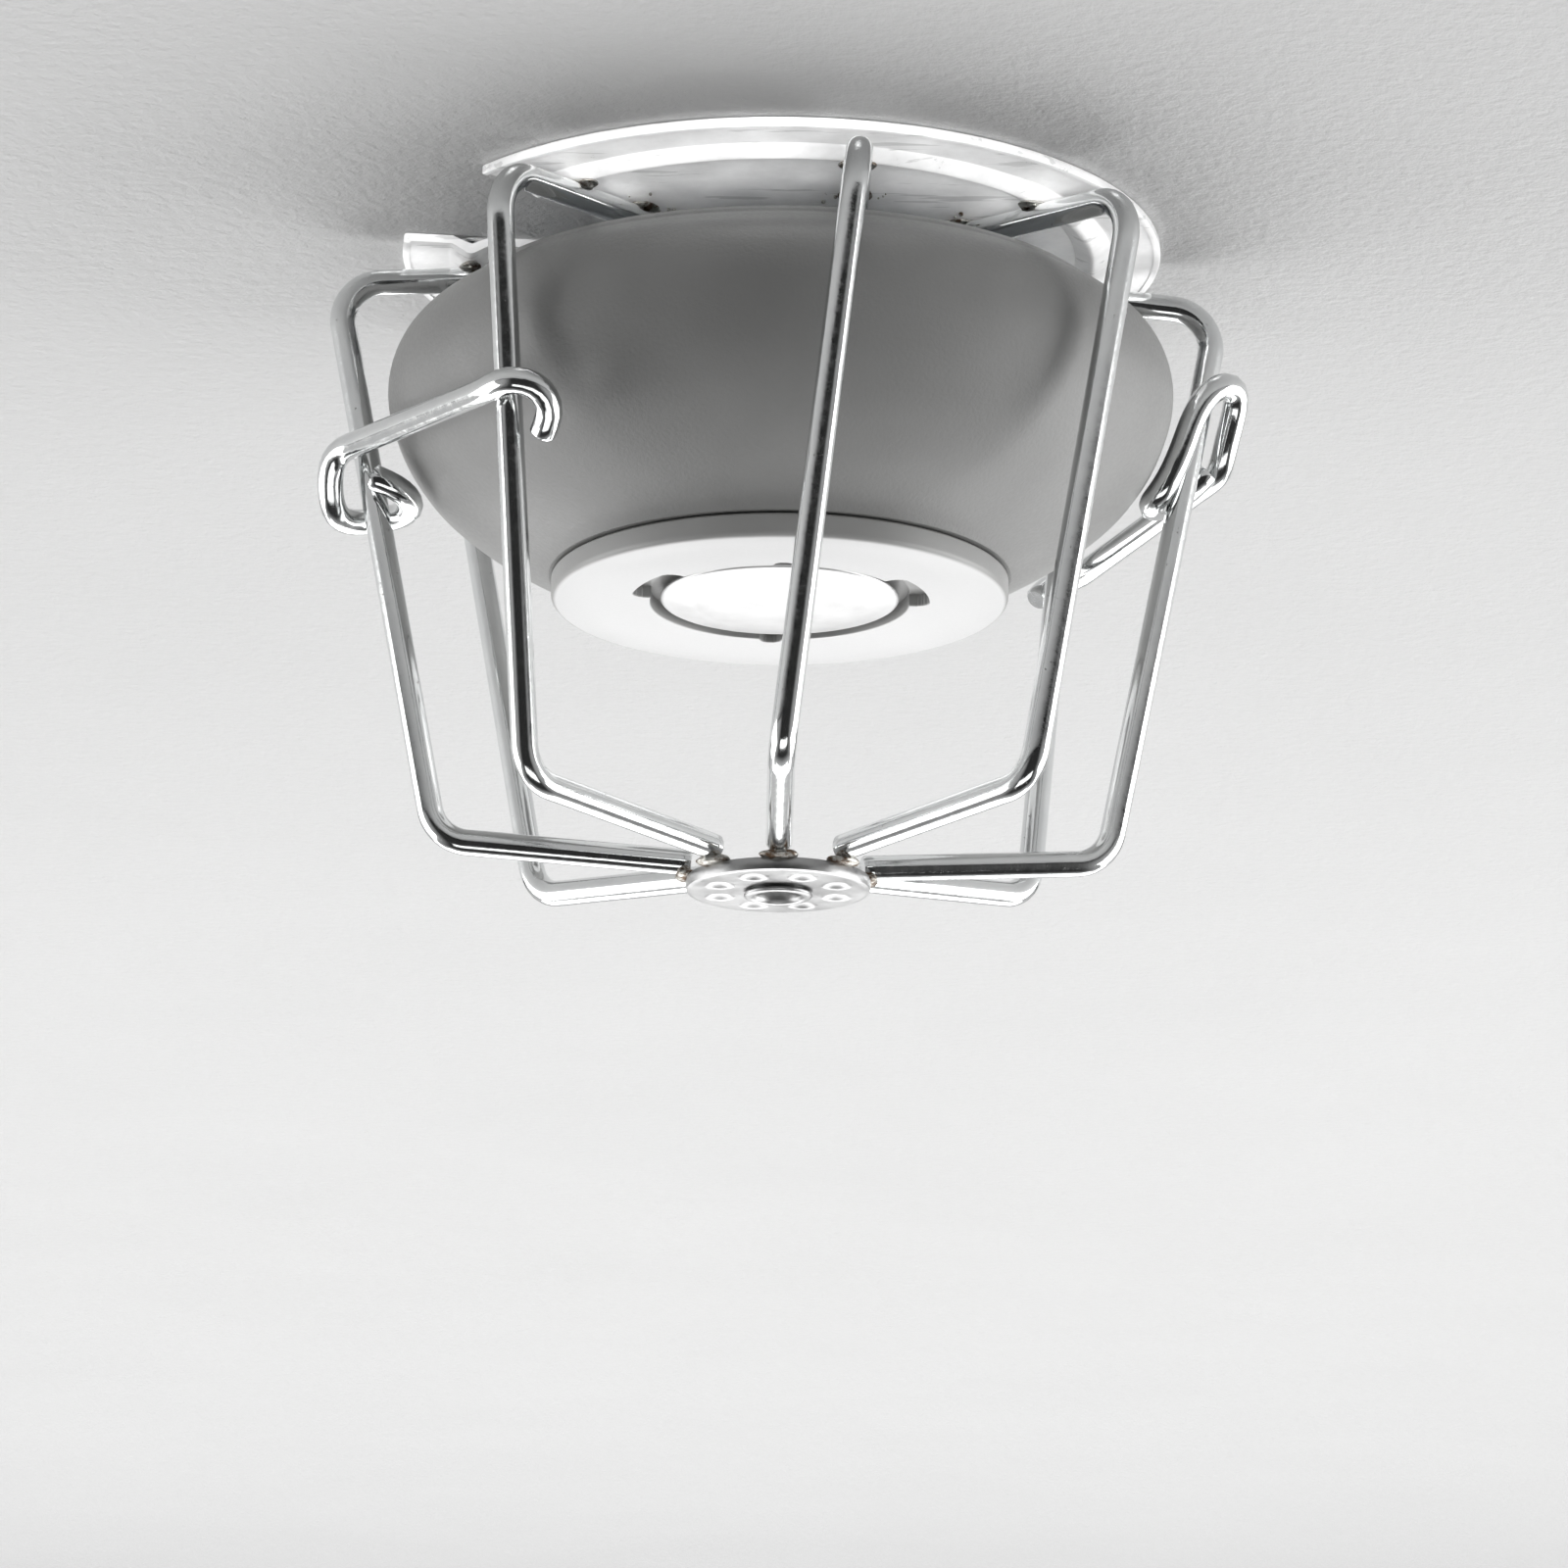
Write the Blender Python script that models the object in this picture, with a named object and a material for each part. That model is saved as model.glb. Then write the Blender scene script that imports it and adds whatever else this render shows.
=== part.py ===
"""Ceiling heat detector inside a latched wire guard.

Row frame: origin at the centre of the ceiling face, +Z up into the ceiling, -Y towards the near side.
Lengths below are in millimetres and are turned into metres where a mesh is made.
"""

import math

import bmesh
import bpy
from mathutils import Matrix, Vector

MM = 0.001
GAP = 0.3

# Guard wire: 9 gauge steel.
WIRE_R = 1.885
BEND_R = 6.0
TOP_R = 65.0
TOP_Z = -6.4
BOTTOM_R = 49.0
BOTTOM_Z = -89.0
FOOT_R = 29.0
FOOT_Z = -3.4
SPOKE_R = 12.4
WIRE_SIDES = 3  # bevel resolution of each wire's curve

# Each wire's heading in degrees from the near side, at its foot, at its top bend and at its lower bend.
WIRES = {
    "guard_wire_near_left": (-41, -37, -45),
    "guard_wire_near": (21, 9.5, 0.5),
    "guard_wire_near_right": (58, 49, 45),
    "guard_wire_right": (99, 97, 104),
    "guard_wire_far_right": (136, 136, 131),
    "guard_wire_far_left": (-131, -129, -133),
    "guard_wire_left": (-93, -87, -90),
}

# Guard base plates: 1.2 mm sheet with one pressed rib.
PLATE_INNER_R = 20.0
PLATE_R = 55.4
PLATE_T = 1.2
RIB_R = 45.6
RIB_HALF = 2.6
RIB_DEEP = 1.4
NEAR_PLATE_ARC = (-49.5, 106)
FAR_PLATE_ARC = (125, 278)

# Hub disc under the cage.
HUB_R = 13.2
HUB_T = 2.0
HUB_Z = -96.4
HUB_HOLE_R = 4.3
HUB_DIMPLES = 8
DIMPLE_RING_R = 9.0

# Detector body, as radius and height pairs down its outer side.
BODY = [
    (47.9, -10.3), (48.5, -10.9), (48.8, -11.4), (49.8, -12.0), (51.2, -12.9), (53.4, -14.4), (55.2, -16.5),
    (56.4, -19.0), (57.0, -21.9), (56.9, -24.8), (56.3, -27.4), (55.2, -30.4), (53.9, -33.0), (52.1, -35.7),
    (50.4, -37.8), (48.3, -39.8), (45.2, -42.3), (41.8, -44.6), (38.2, -46.7), (34.9, -48.6), (33.4, -49.8),
]
WALL = 2.2
NECK_BORE_R = 46.3
FACE_HOLE_R = 30.5

# Face ring that carries the collector.
FACE_R = 33.0
FACE_TOP_Z = -50.1
FACE_Z = -53.6
RECESS_R = 18.7
RECESS_Z = -51.3
COLLECTOR_R = 17.2
COLLECTOR_Z = -54.1

# Bayonet between the head and its bracket.
BRACKET_R = 45.9
BRACKET_TOP_Z = -12.5
BRACKET_T = 2.2
LUG_HALF_DEG = 6.0
LUG_TURNS = (90, 210, 330)
TWIST_DEG = 15.0

# Stem that fixes the detector to the ceiling, through the guard plates.
STEM_R = 19.7
COLLAR_R = 24.0
COLLAR_Z = -12.2
CABLE_CENTRE = (0.4, 12.0)
CABLE_R = 4.5

# Inside the head.
CARRIER_TOP_Z = -19.2
CARRIER_T = 2.5
CARRIER_R = 42.0
BOSS_R = 37.5
BOSS_TURNS = (30, 150, 270)
CUP_R = 24.0
CUP_FLANGE_R = 28.0
CUP_Z = -36.5
CUP_TOP_Z = -31.0
DIAPHRAGM_R = 21.6
PLUNGER_HEAD_R = 3.6
SPRING_R = 3.0
SPRING_WIRE_R = 0.28

# Latch links of the same wire. Each eye is a list of (heading, height, radius) round the wire it hangs on, from
# its cut end. Each hook is a list of (along, inward, up) from where the bar crosses the other half's wire.
LEFT_EYE = [
    (2, -36.7, 4.9), (24, -37.8, 5.1), (52, -39.1, 5.3), (82, -40.3, 5.3), (112, -40.9, 5.2), (145, -40.8, 5.2),
    (180, -40.5, 5.6), (210, -40.4, 6.1), (238, -40.2, 6.4), (262, -38.8, 6.3), (280, -36.2, 6.1), (297, -33.6, 6.0),
    (312, -32.1, 5.8), (330, -31.9, 5.3),
]
LEFT_CROSSING_Z = -37.7
LEFT_HOOK = [(3.2, 0.1, 0.1), (6.2, 1.6, 0.3), (8.0, 4.4, -0.2), (8.4, 7.2, -1.8), (7.2, 8.6, -4.2), (5.0, 8.0, -6.0)]
RIGHT_EYE = [
    (140, -28.8, 4.9), (165, -31.6, 4.7), (192, -34.0, 4.4), (225, -36.0, 4.4), (260, -36.6, 4.4), (292, -36.2, 4.4),
    (318, -34.6, 4.4), (334, -31.6, 4.5), (345, -28.0, 4.7), (351, -24.4, 4.9), (362, -20.9, 5.0), (380, -18.4, 5.1),
    (405, -17.2, 5.2), (430, -17.6, 5.2), (452, -19.6, 5.2), (467, -22.6, 5.3), (480, -25.6, 5.6), (496, -28.4, 7.2),
]
RIGHT_CROSSING_Z = -35.9
RIGHT_HOOK = [(2.4, 0.2, 0.1), (4.6, 1.4, -0.3), (5.4, 3.4, -1.4), (5.2, 4.9, -3.4)]
PIVOT_Z = -35.0

BLADE_HINGE = (15.6, 0.0, -26.7)


def clear_scene():
    for obj in list(bpy.data.objects):
        bpy.data.objects.remove(obj, do_unlink=True)


def material(name, colour, roughness, metallic=0.0):
    made = bpy.data.materials.new(name)
    made.use_nodes = True
    shader = made.node_tree.nodes["Principled BSDF"]
    shader.inputs["Base Color"].default_value = (*colour, 1.0)
    shader.inputs["Roughness"].default_value = roughness
    shader.inputs["Metallic"].default_value = metallic
    return made


def finish_mesh(name, mesh_data, surface, smooth_deg=35.0):
    bmesh.ops.recalc_face_normals(mesh_data, faces=mesh_data.faces)
    mesh = bpy.data.meshes.new(name)
    mesh_data.to_mesh(mesh)
    mesh_data.free()
    mesh.shade_smooth()
    mesh.set_sharp_from_angle(angle=math.radians(smooth_deg))
    mesh.materials.append(surface)
    obj = bpy.data.objects.new(name, mesh)
    bpy.context.scene.collection.objects.link(obj)
    return obj


def heading(degrees):
    """Unit direction in plan, in degrees from the near side towards the right."""
    turn = math.radians(degrees)
    return Vector((math.sin(turn), -math.cos(turn), 0.0))


def at(radius, degrees, height):
    return heading(degrees) * radius + Vector((0.0, 0.0, height))


def revolve(name, profile, surface, steps, centre=(0.0, 0.0), arc=None):
    """Solid of revolution from a closed profile of (radius, height) pairs. An arc is (from, to) in headings."""
    shape = bmesh.new()
    start, stop = arc if arc else (0.0, 360.0)
    count = steps + 1 if arc else steps
    rings = []
    for step in range(count):
        turn = start + (stop - start) * step / steps
        ring = []
        for index, (radius, height) in enumerate(profile):
            if radius < 1e-6 and step:
                ring.append(rings[0][index])
                continue
            point = at(radius, turn, height) + Vector((centre[0], centre[1], 0.0))
            ring.append(shape.verts.new(point * MM))
        rings.append(ring)
    for i, (radius, height) in enumerate(profile):
        j = (i + 1) % len(profile)
        if height == profile[j][1] and 0.0 in (radius, profile[j][0]) and not arc:
            rim = i if radius else j
            shape.faces.new([ring[rim] for ring in rings])
            continue
        for step in range(steps):
            here = rings[step]
            there = rings[(step + 1) % count]
            corners = []
            for vert in (here[i], here[j], there[j], there[i]):
                if vert not in corners:
                    corners.append(vert)
            if len(corners) > 2:
                shape.faces.new(corners)
    if arc:
        shape.faces.new(rings[0])
        shape.faces.new(rings[-1])
    bmesh.ops.delete(shape, geom=[vert for vert in shape.verts if not vert.link_faces], context="VERTS")
    return finish_mesh(name, shape, surface)


def cylinder(name, radius, low, high, surface, steps=20, centre=(0.0, 0.0)):
    profile = [(0.0, high), (radius, high), (radius, low), (0.0, low)]
    return revolve(name, profile, surface, steps, centre)


def block(name, low, high, surface, turn=0.0, bevel=0.0):
    """Box between two corners, turned about the Z axis of the row."""
    shape = bmesh.new()
    bmesh.ops.create_cube(shape, size=1.0)
    size = [(high[i] - low[i]) * MM for i in range(3)]
    middle = [(high[i] + low[i]) * 0.5 * MM for i in range(3)]
    bmesh.ops.scale(shape, vec=size, verts=shape.verts)
    bmesh.ops.translate(shape, vec=middle, verts=shape.verts)
    bmesh.ops.rotate(shape, cent=(0, 0, 0), matrix=Matrix.Rotation(math.radians(turn), 3, "Z"), verts=shape.verts)
    obj = finish_mesh(name, shape, surface)
    if bevel:
        soften(obj, bevel)
    return obj


def soften(obj, width):
    bevel = obj.modifiers.new("edge_break", "BEVEL")
    bevel.width = width * MM
    bevel.segments = 2
    bevel.limit_method = "ANGLE"
    bevel.angle_limit = math.radians(40)


def settle(obj, smooth_deg=35.0):
    """Applies the Booleans, removes their tools and marks the sharp edges of what they left."""
    graph = bpy.context.evaluated_depsgraph_get()
    mesh = bpy.data.meshes.new_from_object(obj.evaluated_get(graph))
    tools = [modifier.object for modifier in obj.modifiers if modifier.type == "BOOLEAN"]
    obj.modifiers.clear()
    obj.data = mesh
    for tool in tools:
        bpy.data.objects.remove(tool, do_unlink=True)
    mesh.shade_smooth()
    mesh.set_sharp_from_angle(angle=math.radians(smooth_deg))
    return obj


def set_origin(obj, point):
    """Moves the object's origin to a point and leaves its shape where it is."""
    obj.data.transform(Matrix.Translation(-point * MM))
    obj.location = point * MM
    return obj


def combine(target, tool, operation="DIFFERENCE"):
    """Cuts the tool from the target, or joins it on, and hides the tool."""
    modifier = target.modifiers.new(tool.name, "BOOLEAN")
    modifier.operation = operation
    modifier.solver = "EXACT"
    modifier.object = tool
    tool.hide_render = True
    tool.display_type = "WIRE"
    return target


def rounded_path(corners, bend, steps=6):
    """Points along straight runs whose corners are arcs of the bend radius."""
    points = [corners[0]]
    for before, corner, after in zip(corners, corners[1:], corners[2:]):
        back = (before - corner).normalized()
        ahead = (after - corner).normalized()
        half = back.angle(ahead) * 0.5
        centre = corner + (back + ahead).normalized() * (bend / math.sin(half))
        start = corner + back * (bend / math.tan(half))
        stop = corner + ahead * (bend / math.tan(half))
        for step in range(steps + 1):
            direction = (start - centre).slerp(stop - centre, step / steps)
            points.append(centre + direction.normalized() * bend)
    points.append(corners[-1])
    return points


def smooth_path(knots, per_span):
    """Catmull-Rom points through the knots."""
    points = []
    ends = [knots[0] * 2 - knots[1], *knots, knots[-1] * 2 - knots[-2]]
    for i in range(len(knots) - 1):
        a, b, c, d = ends[i : i + 4]
        for step in range(per_span):
            t = step / per_span
            points.append(
                0.5 * (2 * b + (c - a) * t + (2 * a - 5 * b + 4 * c - d) * t * t + (3 * b - a - 3 * c + d) * t**3)
            )
    points.append(knots[-1])
    return points


def eased_path(knots, spacing=1.2, passes=4):
    """Even points along the smooth path, with its tight corners relaxed as a bender leaves them."""
    dense = smooth_path(knots, 12)
    points = [dense[0]]
    for point in dense:
        if (point - points[-1]).length >= spacing:
            points.append(point)
    points[-1] = dense[-1]
    for _ in range(passes):
        middle = [(a + b * 2 + c) * 0.25 for a, b, c in zip(points, points[1:], points[2:])]
        points = [points[0], *middle, points[-1]]
    return points


def wire(name, points, radius, surface, sides=WIRE_SIDES):
    """Round wire along the points, as a bevelled curve with closed ends."""
    curve = bpy.data.curves.new(name, "CURVE")
    curve.dimensions = "3D"
    curve.twist_mode = "MINIMUM"
    curve.bevel_depth = radius * MM
    curve.bevel_resolution = sides
    curve.use_fill_caps = True
    curve.resolution_u = 1
    curve.render_resolution_u = 0
    spline = curve.splines.new("POLY")
    spline.points.add(len(points) - 1)
    for slot, point in zip(spline.points, points):
        slot.co = (*(point * MM), 1.0)
    spline.use_smooth = True
    curve.materials.append(surface)
    obj = bpy.data.objects.new(name, curve)
    bpy.context.scene.collection.objects.link(obj)
    return obj


def cage_corners(name):
    foot, top, bottom = WIRES[name]
    spoke_z = HUB_Z + HUB_T + GAP + WIRE_R
    return [
        at(FOOT_R, foot, FOOT_Z),
        at(TOP_R, top, TOP_Z),
        at(BOTTOM_R, bottom, BOTTOM_Z),
        at(SPOKE_R, bottom, spoke_z),
    ]


def guard_wire(name, surface):
    return wire(name, rounded_path(cage_corners(name), BEND_R), WIRE_R, surface)


def guard_plate(name, arc, surface):
    low = -PLATE_T
    profile = [
        (PLATE_INNER_R, 0.0),
        (RIB_R - RIB_HALF, 0.0),
        (RIB_R - 1.0, -RIB_DEEP * 0.55),
        (RIB_R, -RIB_DEEP * 0.8),
        (RIB_R + 1.0, -RIB_DEEP * 0.55),
        (RIB_R + RIB_HALF, 0.0),
        (PLATE_R - 0.3, 0.0),
        (PLATE_R, -0.3),
        (PLATE_R, low - 0.25),
        (PLATE_R - 1.1, low - 0.25),
        (PLATE_R - 1.3, low),
        (RIB_R + RIB_HALF + 0.4, low),
        (RIB_R + 0.9, low - RIB_DEEP * 0.75),
        (RIB_R, low - RIB_DEEP),
        (RIB_R - 0.9, low - RIB_DEEP * 0.75),
        (RIB_R - RIB_HALF - 0.4, low),
        (PLATE_INNER_R, low),
    ]
    return revolve(name, profile, surface, 40, arc=arc)


def hub_disc(surface):
    top = HUB_Z + HUB_T
    profile = [
        (HUB_HOLE_R, top), (HUB_R - 0.5, top), (HUB_R, top - 0.5), (HUB_R, HUB_Z + 0.5), (HUB_R - 0.5, HUB_Z),
        (HUB_HOLE_R, HUB_Z),
    ]
    disc = revolve("hub_disc", profile, surface, 48)
    for k in range(HUB_DIMPLES):
        ball = bmesh.new()
        bmesh.ops.create_uvsphere(ball, u_segments=10, v_segments=6, radius=2.0 * MM)
        spot = at(DIMPLE_RING_R, 22.5 + 45 * k, HUB_Z - 1.2)
        bmesh.ops.translate(ball, vec=spot * MM, verts=ball.verts)
        combine(disc, finish_mesh(f"cutter_dimple_{k}", ball, surface))
    return settle(disc)


def hub_eyelet(surface):
    top = HUB_Z + HUB_T
    outer = HUB_HOLE_R - GAP
    profile = [
        (outer, top + 0.6), (outer, HUB_Z - GAP), (outer + 0.7, HUB_Z - GAP), (outer + 0.9, HUB_Z - 0.6),
        (outer + 0.5, HUB_Z - 0.95), (outer - 0.3, HUB_Z - 0.9), (outer - 0.7, HUB_Z - 0.3), (outer - 0.7, top + 0.6),
    ]
    return revolve("hub_eyelet", profile, surface, 32)


def pivot_line(name):
    """Straight part of a cage wire, as its top and bottom corner."""
    corners = cage_corners(name)
    return corners[1], corners[2]


def on_line(line, height):
    top, bottom = line
    return top + (bottom - top) * ((height - top.z) / (bottom.z - top.z))


def around(line, degrees, height, radius):
    """Point beside a leaning wire: degrees are plan headings round the wire, the height is measured along it."""
    top, bottom = line
    up = (top - bottom).normalized()
    side = heading(degrees)
    side = (side - up * side.dot(up)).normalized()
    return on_line(line, height) + side * radius


def latch_link(name, pivot, hooked, eye, crossing_z, hook, surface):
    """Wire link: an eye round the pivot wire, a straight bar and an open hook past the other wire."""
    line = pivot_line(pivot)
    knots = [around(line, degrees, height, radius) for degrees, height, radius in eye]
    meeting = on_line(pivot_line(hooked), crossing_z)
    outward = Vector((meeting.x, meeting.y, 0.0)).normalized()
    crossing = meeting + outward * (2 * WIRE_R + 2 * GAP)
    bar = (crossing - knots[-1]).normalized()
    side = Vector((bar.x, bar.y, 0.0)).normalized()
    lift = Vector((0.0, 0.0, 1.0))
    turns = [crossing + side * along - outward * inward + lift * up for along, inward, up in hook]
    points = eased_path([*knots, knots[-1] + bar * 3.0, knots[-1] + bar * 6.0])
    points += eased_path([crossing - bar * 8.0, crossing - bar * 5.0, crossing - bar * 2.5, crossing, *turns])
    return set_origin(wire(name, points, WIRE_R, surface), on_line(line, PIVOT_Z))


def latch_links(surface):
    left = ("latch_link_left", "guard_wire_left", "guard_wire_near_left")
    latch_link(*left, LEFT_EYE, LEFT_CROSSING_Z, LEFT_HOOK, surface)
    right = ("latch_link_right", "guard_wire_right", "guard_wire_far_right")
    latch_link(*right, RIGHT_EYE, RIGHT_CROSSING_Z, RIGHT_HOOK, surface)


def mounting_stem(surface):
    profile = [
        (0.0, 0.0), (STEM_R - 0.3, 0.0), (STEM_R, -0.3), (STEM_R, -PLATE_T - GAP), (COLLAR_R - 0.5, -PLATE_T - GAP),
        (COLLAR_R, -PLATE_T - GAP - 0.5), (COLLAR_R, COLLAR_Z), (0.0, COLLAR_Z),
    ]
    stem = revolve("mounting_stem", profile, surface, 48)
    combine(stem, cylinder("cutter_cable", CABLE_R, COLLAR_Z - 2, 2, surface, 24, CABLE_CENTRE))
    for name, x in (("a", -11.0), ("b", 11.0)):
        combine(stem, cylinder("cutter_stem_hole_" + name, 2.4, COLLAR_Z - 2, 2, surface, 16, (x, 0.0)))
        combine(stem, cylinder("cutter_stem_seat_" + name, 4.6, COLLAR_Z - 2, -5.6, surface, 20, (x, 0.0)))
        combine(stem, cylinder("cutter_tapped_" + name, 2.0, COLLAR_Z - 2, -4.0, surface, 16, bracket_hole(name)))
    return settle(stem)


def bracket_hole(name):
    return (13.4, -13.4) if name == "a" else (-13.4, 13.4)


def pan_screw(name, shank_r, head_r, tip_z, seat_z, head_h, centre, surface):
    """Screw driven upwards: shank to the tip, pan head under the seat, cross recess in the head."""
    low = seat_z - head_h
    profile = [
        (0.0, tip_z), (shank_r - 0.4, tip_z), (shank_r, tip_z - 0.5), (shank_r, seat_z), (head_r, seat_z),
        (head_r, low + 0.6), (head_r - 0.6, low), (0.0, low),
    ]
    screw = revolve(name, profile, surface, 16, centre)
    deep = low + head_h * 0.5
    x, y = centre
    long = head_r * 0.55
    for suffix, dx, dy in (("x", long, 0.35), ("y", 0.35, long)):
        tool = block("cutter_" + name + suffix, (x - dx, y - dy, low - 1), (x + dx, y + dy, deep), surface)
        combine(screw, tool)
    return settle(screw)


def mounting_bracket(surface):
    low = BRACKET_TOP_Z - BRACKET_T
    profile = [
        (0.0, BRACKET_TOP_Z), (BRACKET_R - 0.4, BRACKET_TOP_Z), (BRACKET_R, BRACKET_TOP_Z - 0.4),
        (BRACKET_R, low + 0.4), (BRACKET_R - 0.4, low), (0.0, low),
    ]
    bracket = revolve("mounting_bracket", profile, surface, 48)
    combine(bracket, cylinder("cutter_bracket_cable", 5.0, low - 1, BRACKET_TOP_Z + 1, surface, 24, CABLE_CENTRE))
    for name in ("a", "b"):
        hole = cylinder("cutter_bracket_hole_" + name, 2.3, low - 1, BRACKET_TOP_Z + 1, surface, 16, bracket_hole(name))
        combine(bracket, hole)
    for k, turn in enumerate(LUG_TURNS):
        half = LUG_HALF_DEG + 1.4
        arc = (turn + TWIST_DEG - half, turn + TWIST_DEG + half)
        notch = [(42.6, BRACKET_TOP_Z + 1), (48.0, BRACKET_TOP_Z + 1), (48.0, low - 1), (42.6, low - 1)]
        combine(bracket, revolve(f"cutter_notch_{k}", notch, surface, 4, arc=arc))
    return settle(bracket)


def terminals(plate_surface, screw_surface):
    """Four clamp plates with screws under the bracket."""
    seat = BRACKET_TOP_Z - BRACKET_T - GAP
    for k, turn in enumerate((35, 75, 285, 325)):
        x, y, _ = at(31.0, turn + 10, 0.0)
        plate = block(f"terminal_plate_{k + 1}", (26.5, -3.6, seat - 1.0), (35.5, 3.6, seat), plate_surface, turn - 80, 0.3)
        hole = cylinder(f"cutter_terminal_{k}", 1.9, seat - 3, seat + 1, plate_surface, 16, (x, y))
        settle(combine(plate, hole))
        pan_screw(f"terminal_screw_{k + 1}", 1.5, 3.0, seat - 0.2, seat - 1.0 - GAP, 1.7, (x, y), screw_surface)


def inner_side(profile, wall):
    """The profile moved inwards by the wall."""
    moved = []
    for i, (radius, height) in enumerate(profile):
        before = profile[max(i - 1, 0)]
        after = profile[min(i + 1, len(profile) - 1)]
        run = math.hypot(after[0] - before[0], after[1] - before[1])
        moved.append((
            radius + (after[1] - before[1]) / run * wall,
            height - (after[0] - before[0]) / run * wall,
        ))
    return moved


def housing_shell(surface):
    neck_foot = BRACKET_TOP_Z - BRACKET_T - GAP
    inner = [p for p in inner_side(BODY, WALL)[::2] if p[1] < neck_foot - 1.0 and p[0] > FACE_HOLE_R + 1.0]
    profile = [
        *BODY,
        (33.0, -49.8),
        (FACE_HOLE_R, -49.8),
        (FACE_HOLE_R, -47.6),
        *reversed(inner),
        (NECK_BORE_R, neck_foot),
        (NECK_BORE_R, BODY[0][1]),
    ]
    shell = revolve("housing_shell", profile, surface, 64)
    for k, turn in enumerate(LUG_TURNS):
        arc = (turn - LUG_HALF_DEG, turn + LUG_HALF_DEG)
        high = BODY[0][1] - GAP
        low = BRACKET_TOP_Z + GAP
        lug = [(43.3, high), (47.2, high), (47.2, low), (43.3, low)]
        combine(shell, revolve(f"part_lug_{k}", lug, surface, 4, arc=arc), "UNION")
    for k, turn in enumerate(BOSS_TURNS):
        x, y, _ = at(BOSS_R, turn, 0.0)
        top = CARRIER_TOP_Z - CARRIER_T - GAP
        combine(shell, cylinder(f"part_boss_{k}", 2.7, -45.3, top, surface, 16, (x, y)), "UNION")
        combine(shell, cylinder(f"cutter_boss_{k}", 1.3, -34.0, top + 1, surface, 12, (x, y)))
    return settle(shell)


def element_cap(surface):
    profile = [
        (5.3, -49.4), (27.6, -49.4), (28.2, -46.6), (FACE_HOLE_R - GAP, -46.6), (FACE_HOLE_R - GAP, FACE_TOP_Z),
        (FACE_R - 0.3, FACE_TOP_Z), (FACE_R, FACE_TOP_Z - 0.3), (FACE_R, FACE_Z + 0.9), (FACE_R - 0.3, FACE_Z + 0.25),
        (FACE_R - 0.9, FACE_Z), (RECESS_R + 0.2, FACE_Z), (RECESS_R, FACE_Z + 0.2), (RECESS_R, RECESS_Z),
        (5.3, RECESS_Z),
    ]
    cap = revolve("element_cap", profile, surface, 64)
    for name, turn, half in (("left", -64, 18), ("right", 73, 20)):
        slot = [(18.2, FACE_Z + 1.7), (21.6, FACE_Z + 1.7), (21.6, FACE_Z - 1), (18.2, FACE_Z - 1)]
        combine(cap, revolve("cutter_slot_" + name, slot, surface, 8, arc=(turn - half, turn + half)))
    for name, turn in (("near", 2), ("far", 184)):
        x, y, _ = at(RECESS_R, turn, 0.0)
        combine(cap, cylinder("cutter_nick_" + name, 1.5, FACE_Z - 1, RECESS_Z + 0.001, surface, 12, (x, y)))
    return settle(cap)


def collector(disc_surface, stem_surface):
    under = COLLECTOR_Z
    profile = [
        (0.0, under + 0.8), (9.0, under + 0.95), (16.6, under + 1.6), (COLLECTOR_R, under + 1.5),
        (COLLECTOR_R, under + 1.0), (16.6, under + 0.8), (12.0, under + 0.35), (6.0, under + 0.1), (0.0, under),
    ]
    revolve("collector_disc", profile, disc_surface, 48)
    cylinder("collector_stem", 2.0, under + 0.8 + GAP, -47.6, stem_surface, 20)


def fusible_ring(surface):
    revolve("fusible_alloy_ring", [(2.3, -49.0), (3.7, -49.0), (3.7, -51.0), (2.3, -51.0)], surface, 24)


def guide_bush(surface):
    profile = [
        (4.0, -40.0), (5.0, -40.0), (5.0, -47.4), (7.4, -47.4), (7.4, -49.1), (5.0, -49.1), (5.0, -51.1),
        (4.0, -51.1), (4.0, -48.8), (2.4, -48.8), (2.4, -47.5), (4.0, -47.5),
    ]
    revolve("guide_bush", profile, surface, 28)


def plunger(surface):
    head = PLUNGER_HEAD_R
    profile = [
        (0.0, -37.6), (head - 0.5, -37.6), (head, -38.1), (head, -39.5), (2.0, -39.5), (2.0, -47.3), (0.0, -47.3),
    ]
    revolve("plunger", profile, surface, 24)


def plunger_spring(surface):
    points = []
    turns = 6
    for step in range(turns * 12 + 1):
        turn = 360 * step / 12
        points.append(at(SPRING_R, turn, -47.0 + 7.0 * step / (turns * 12)))
    wire("plunger_spring", points, SPRING_WIRE_R, surface, 0)


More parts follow.
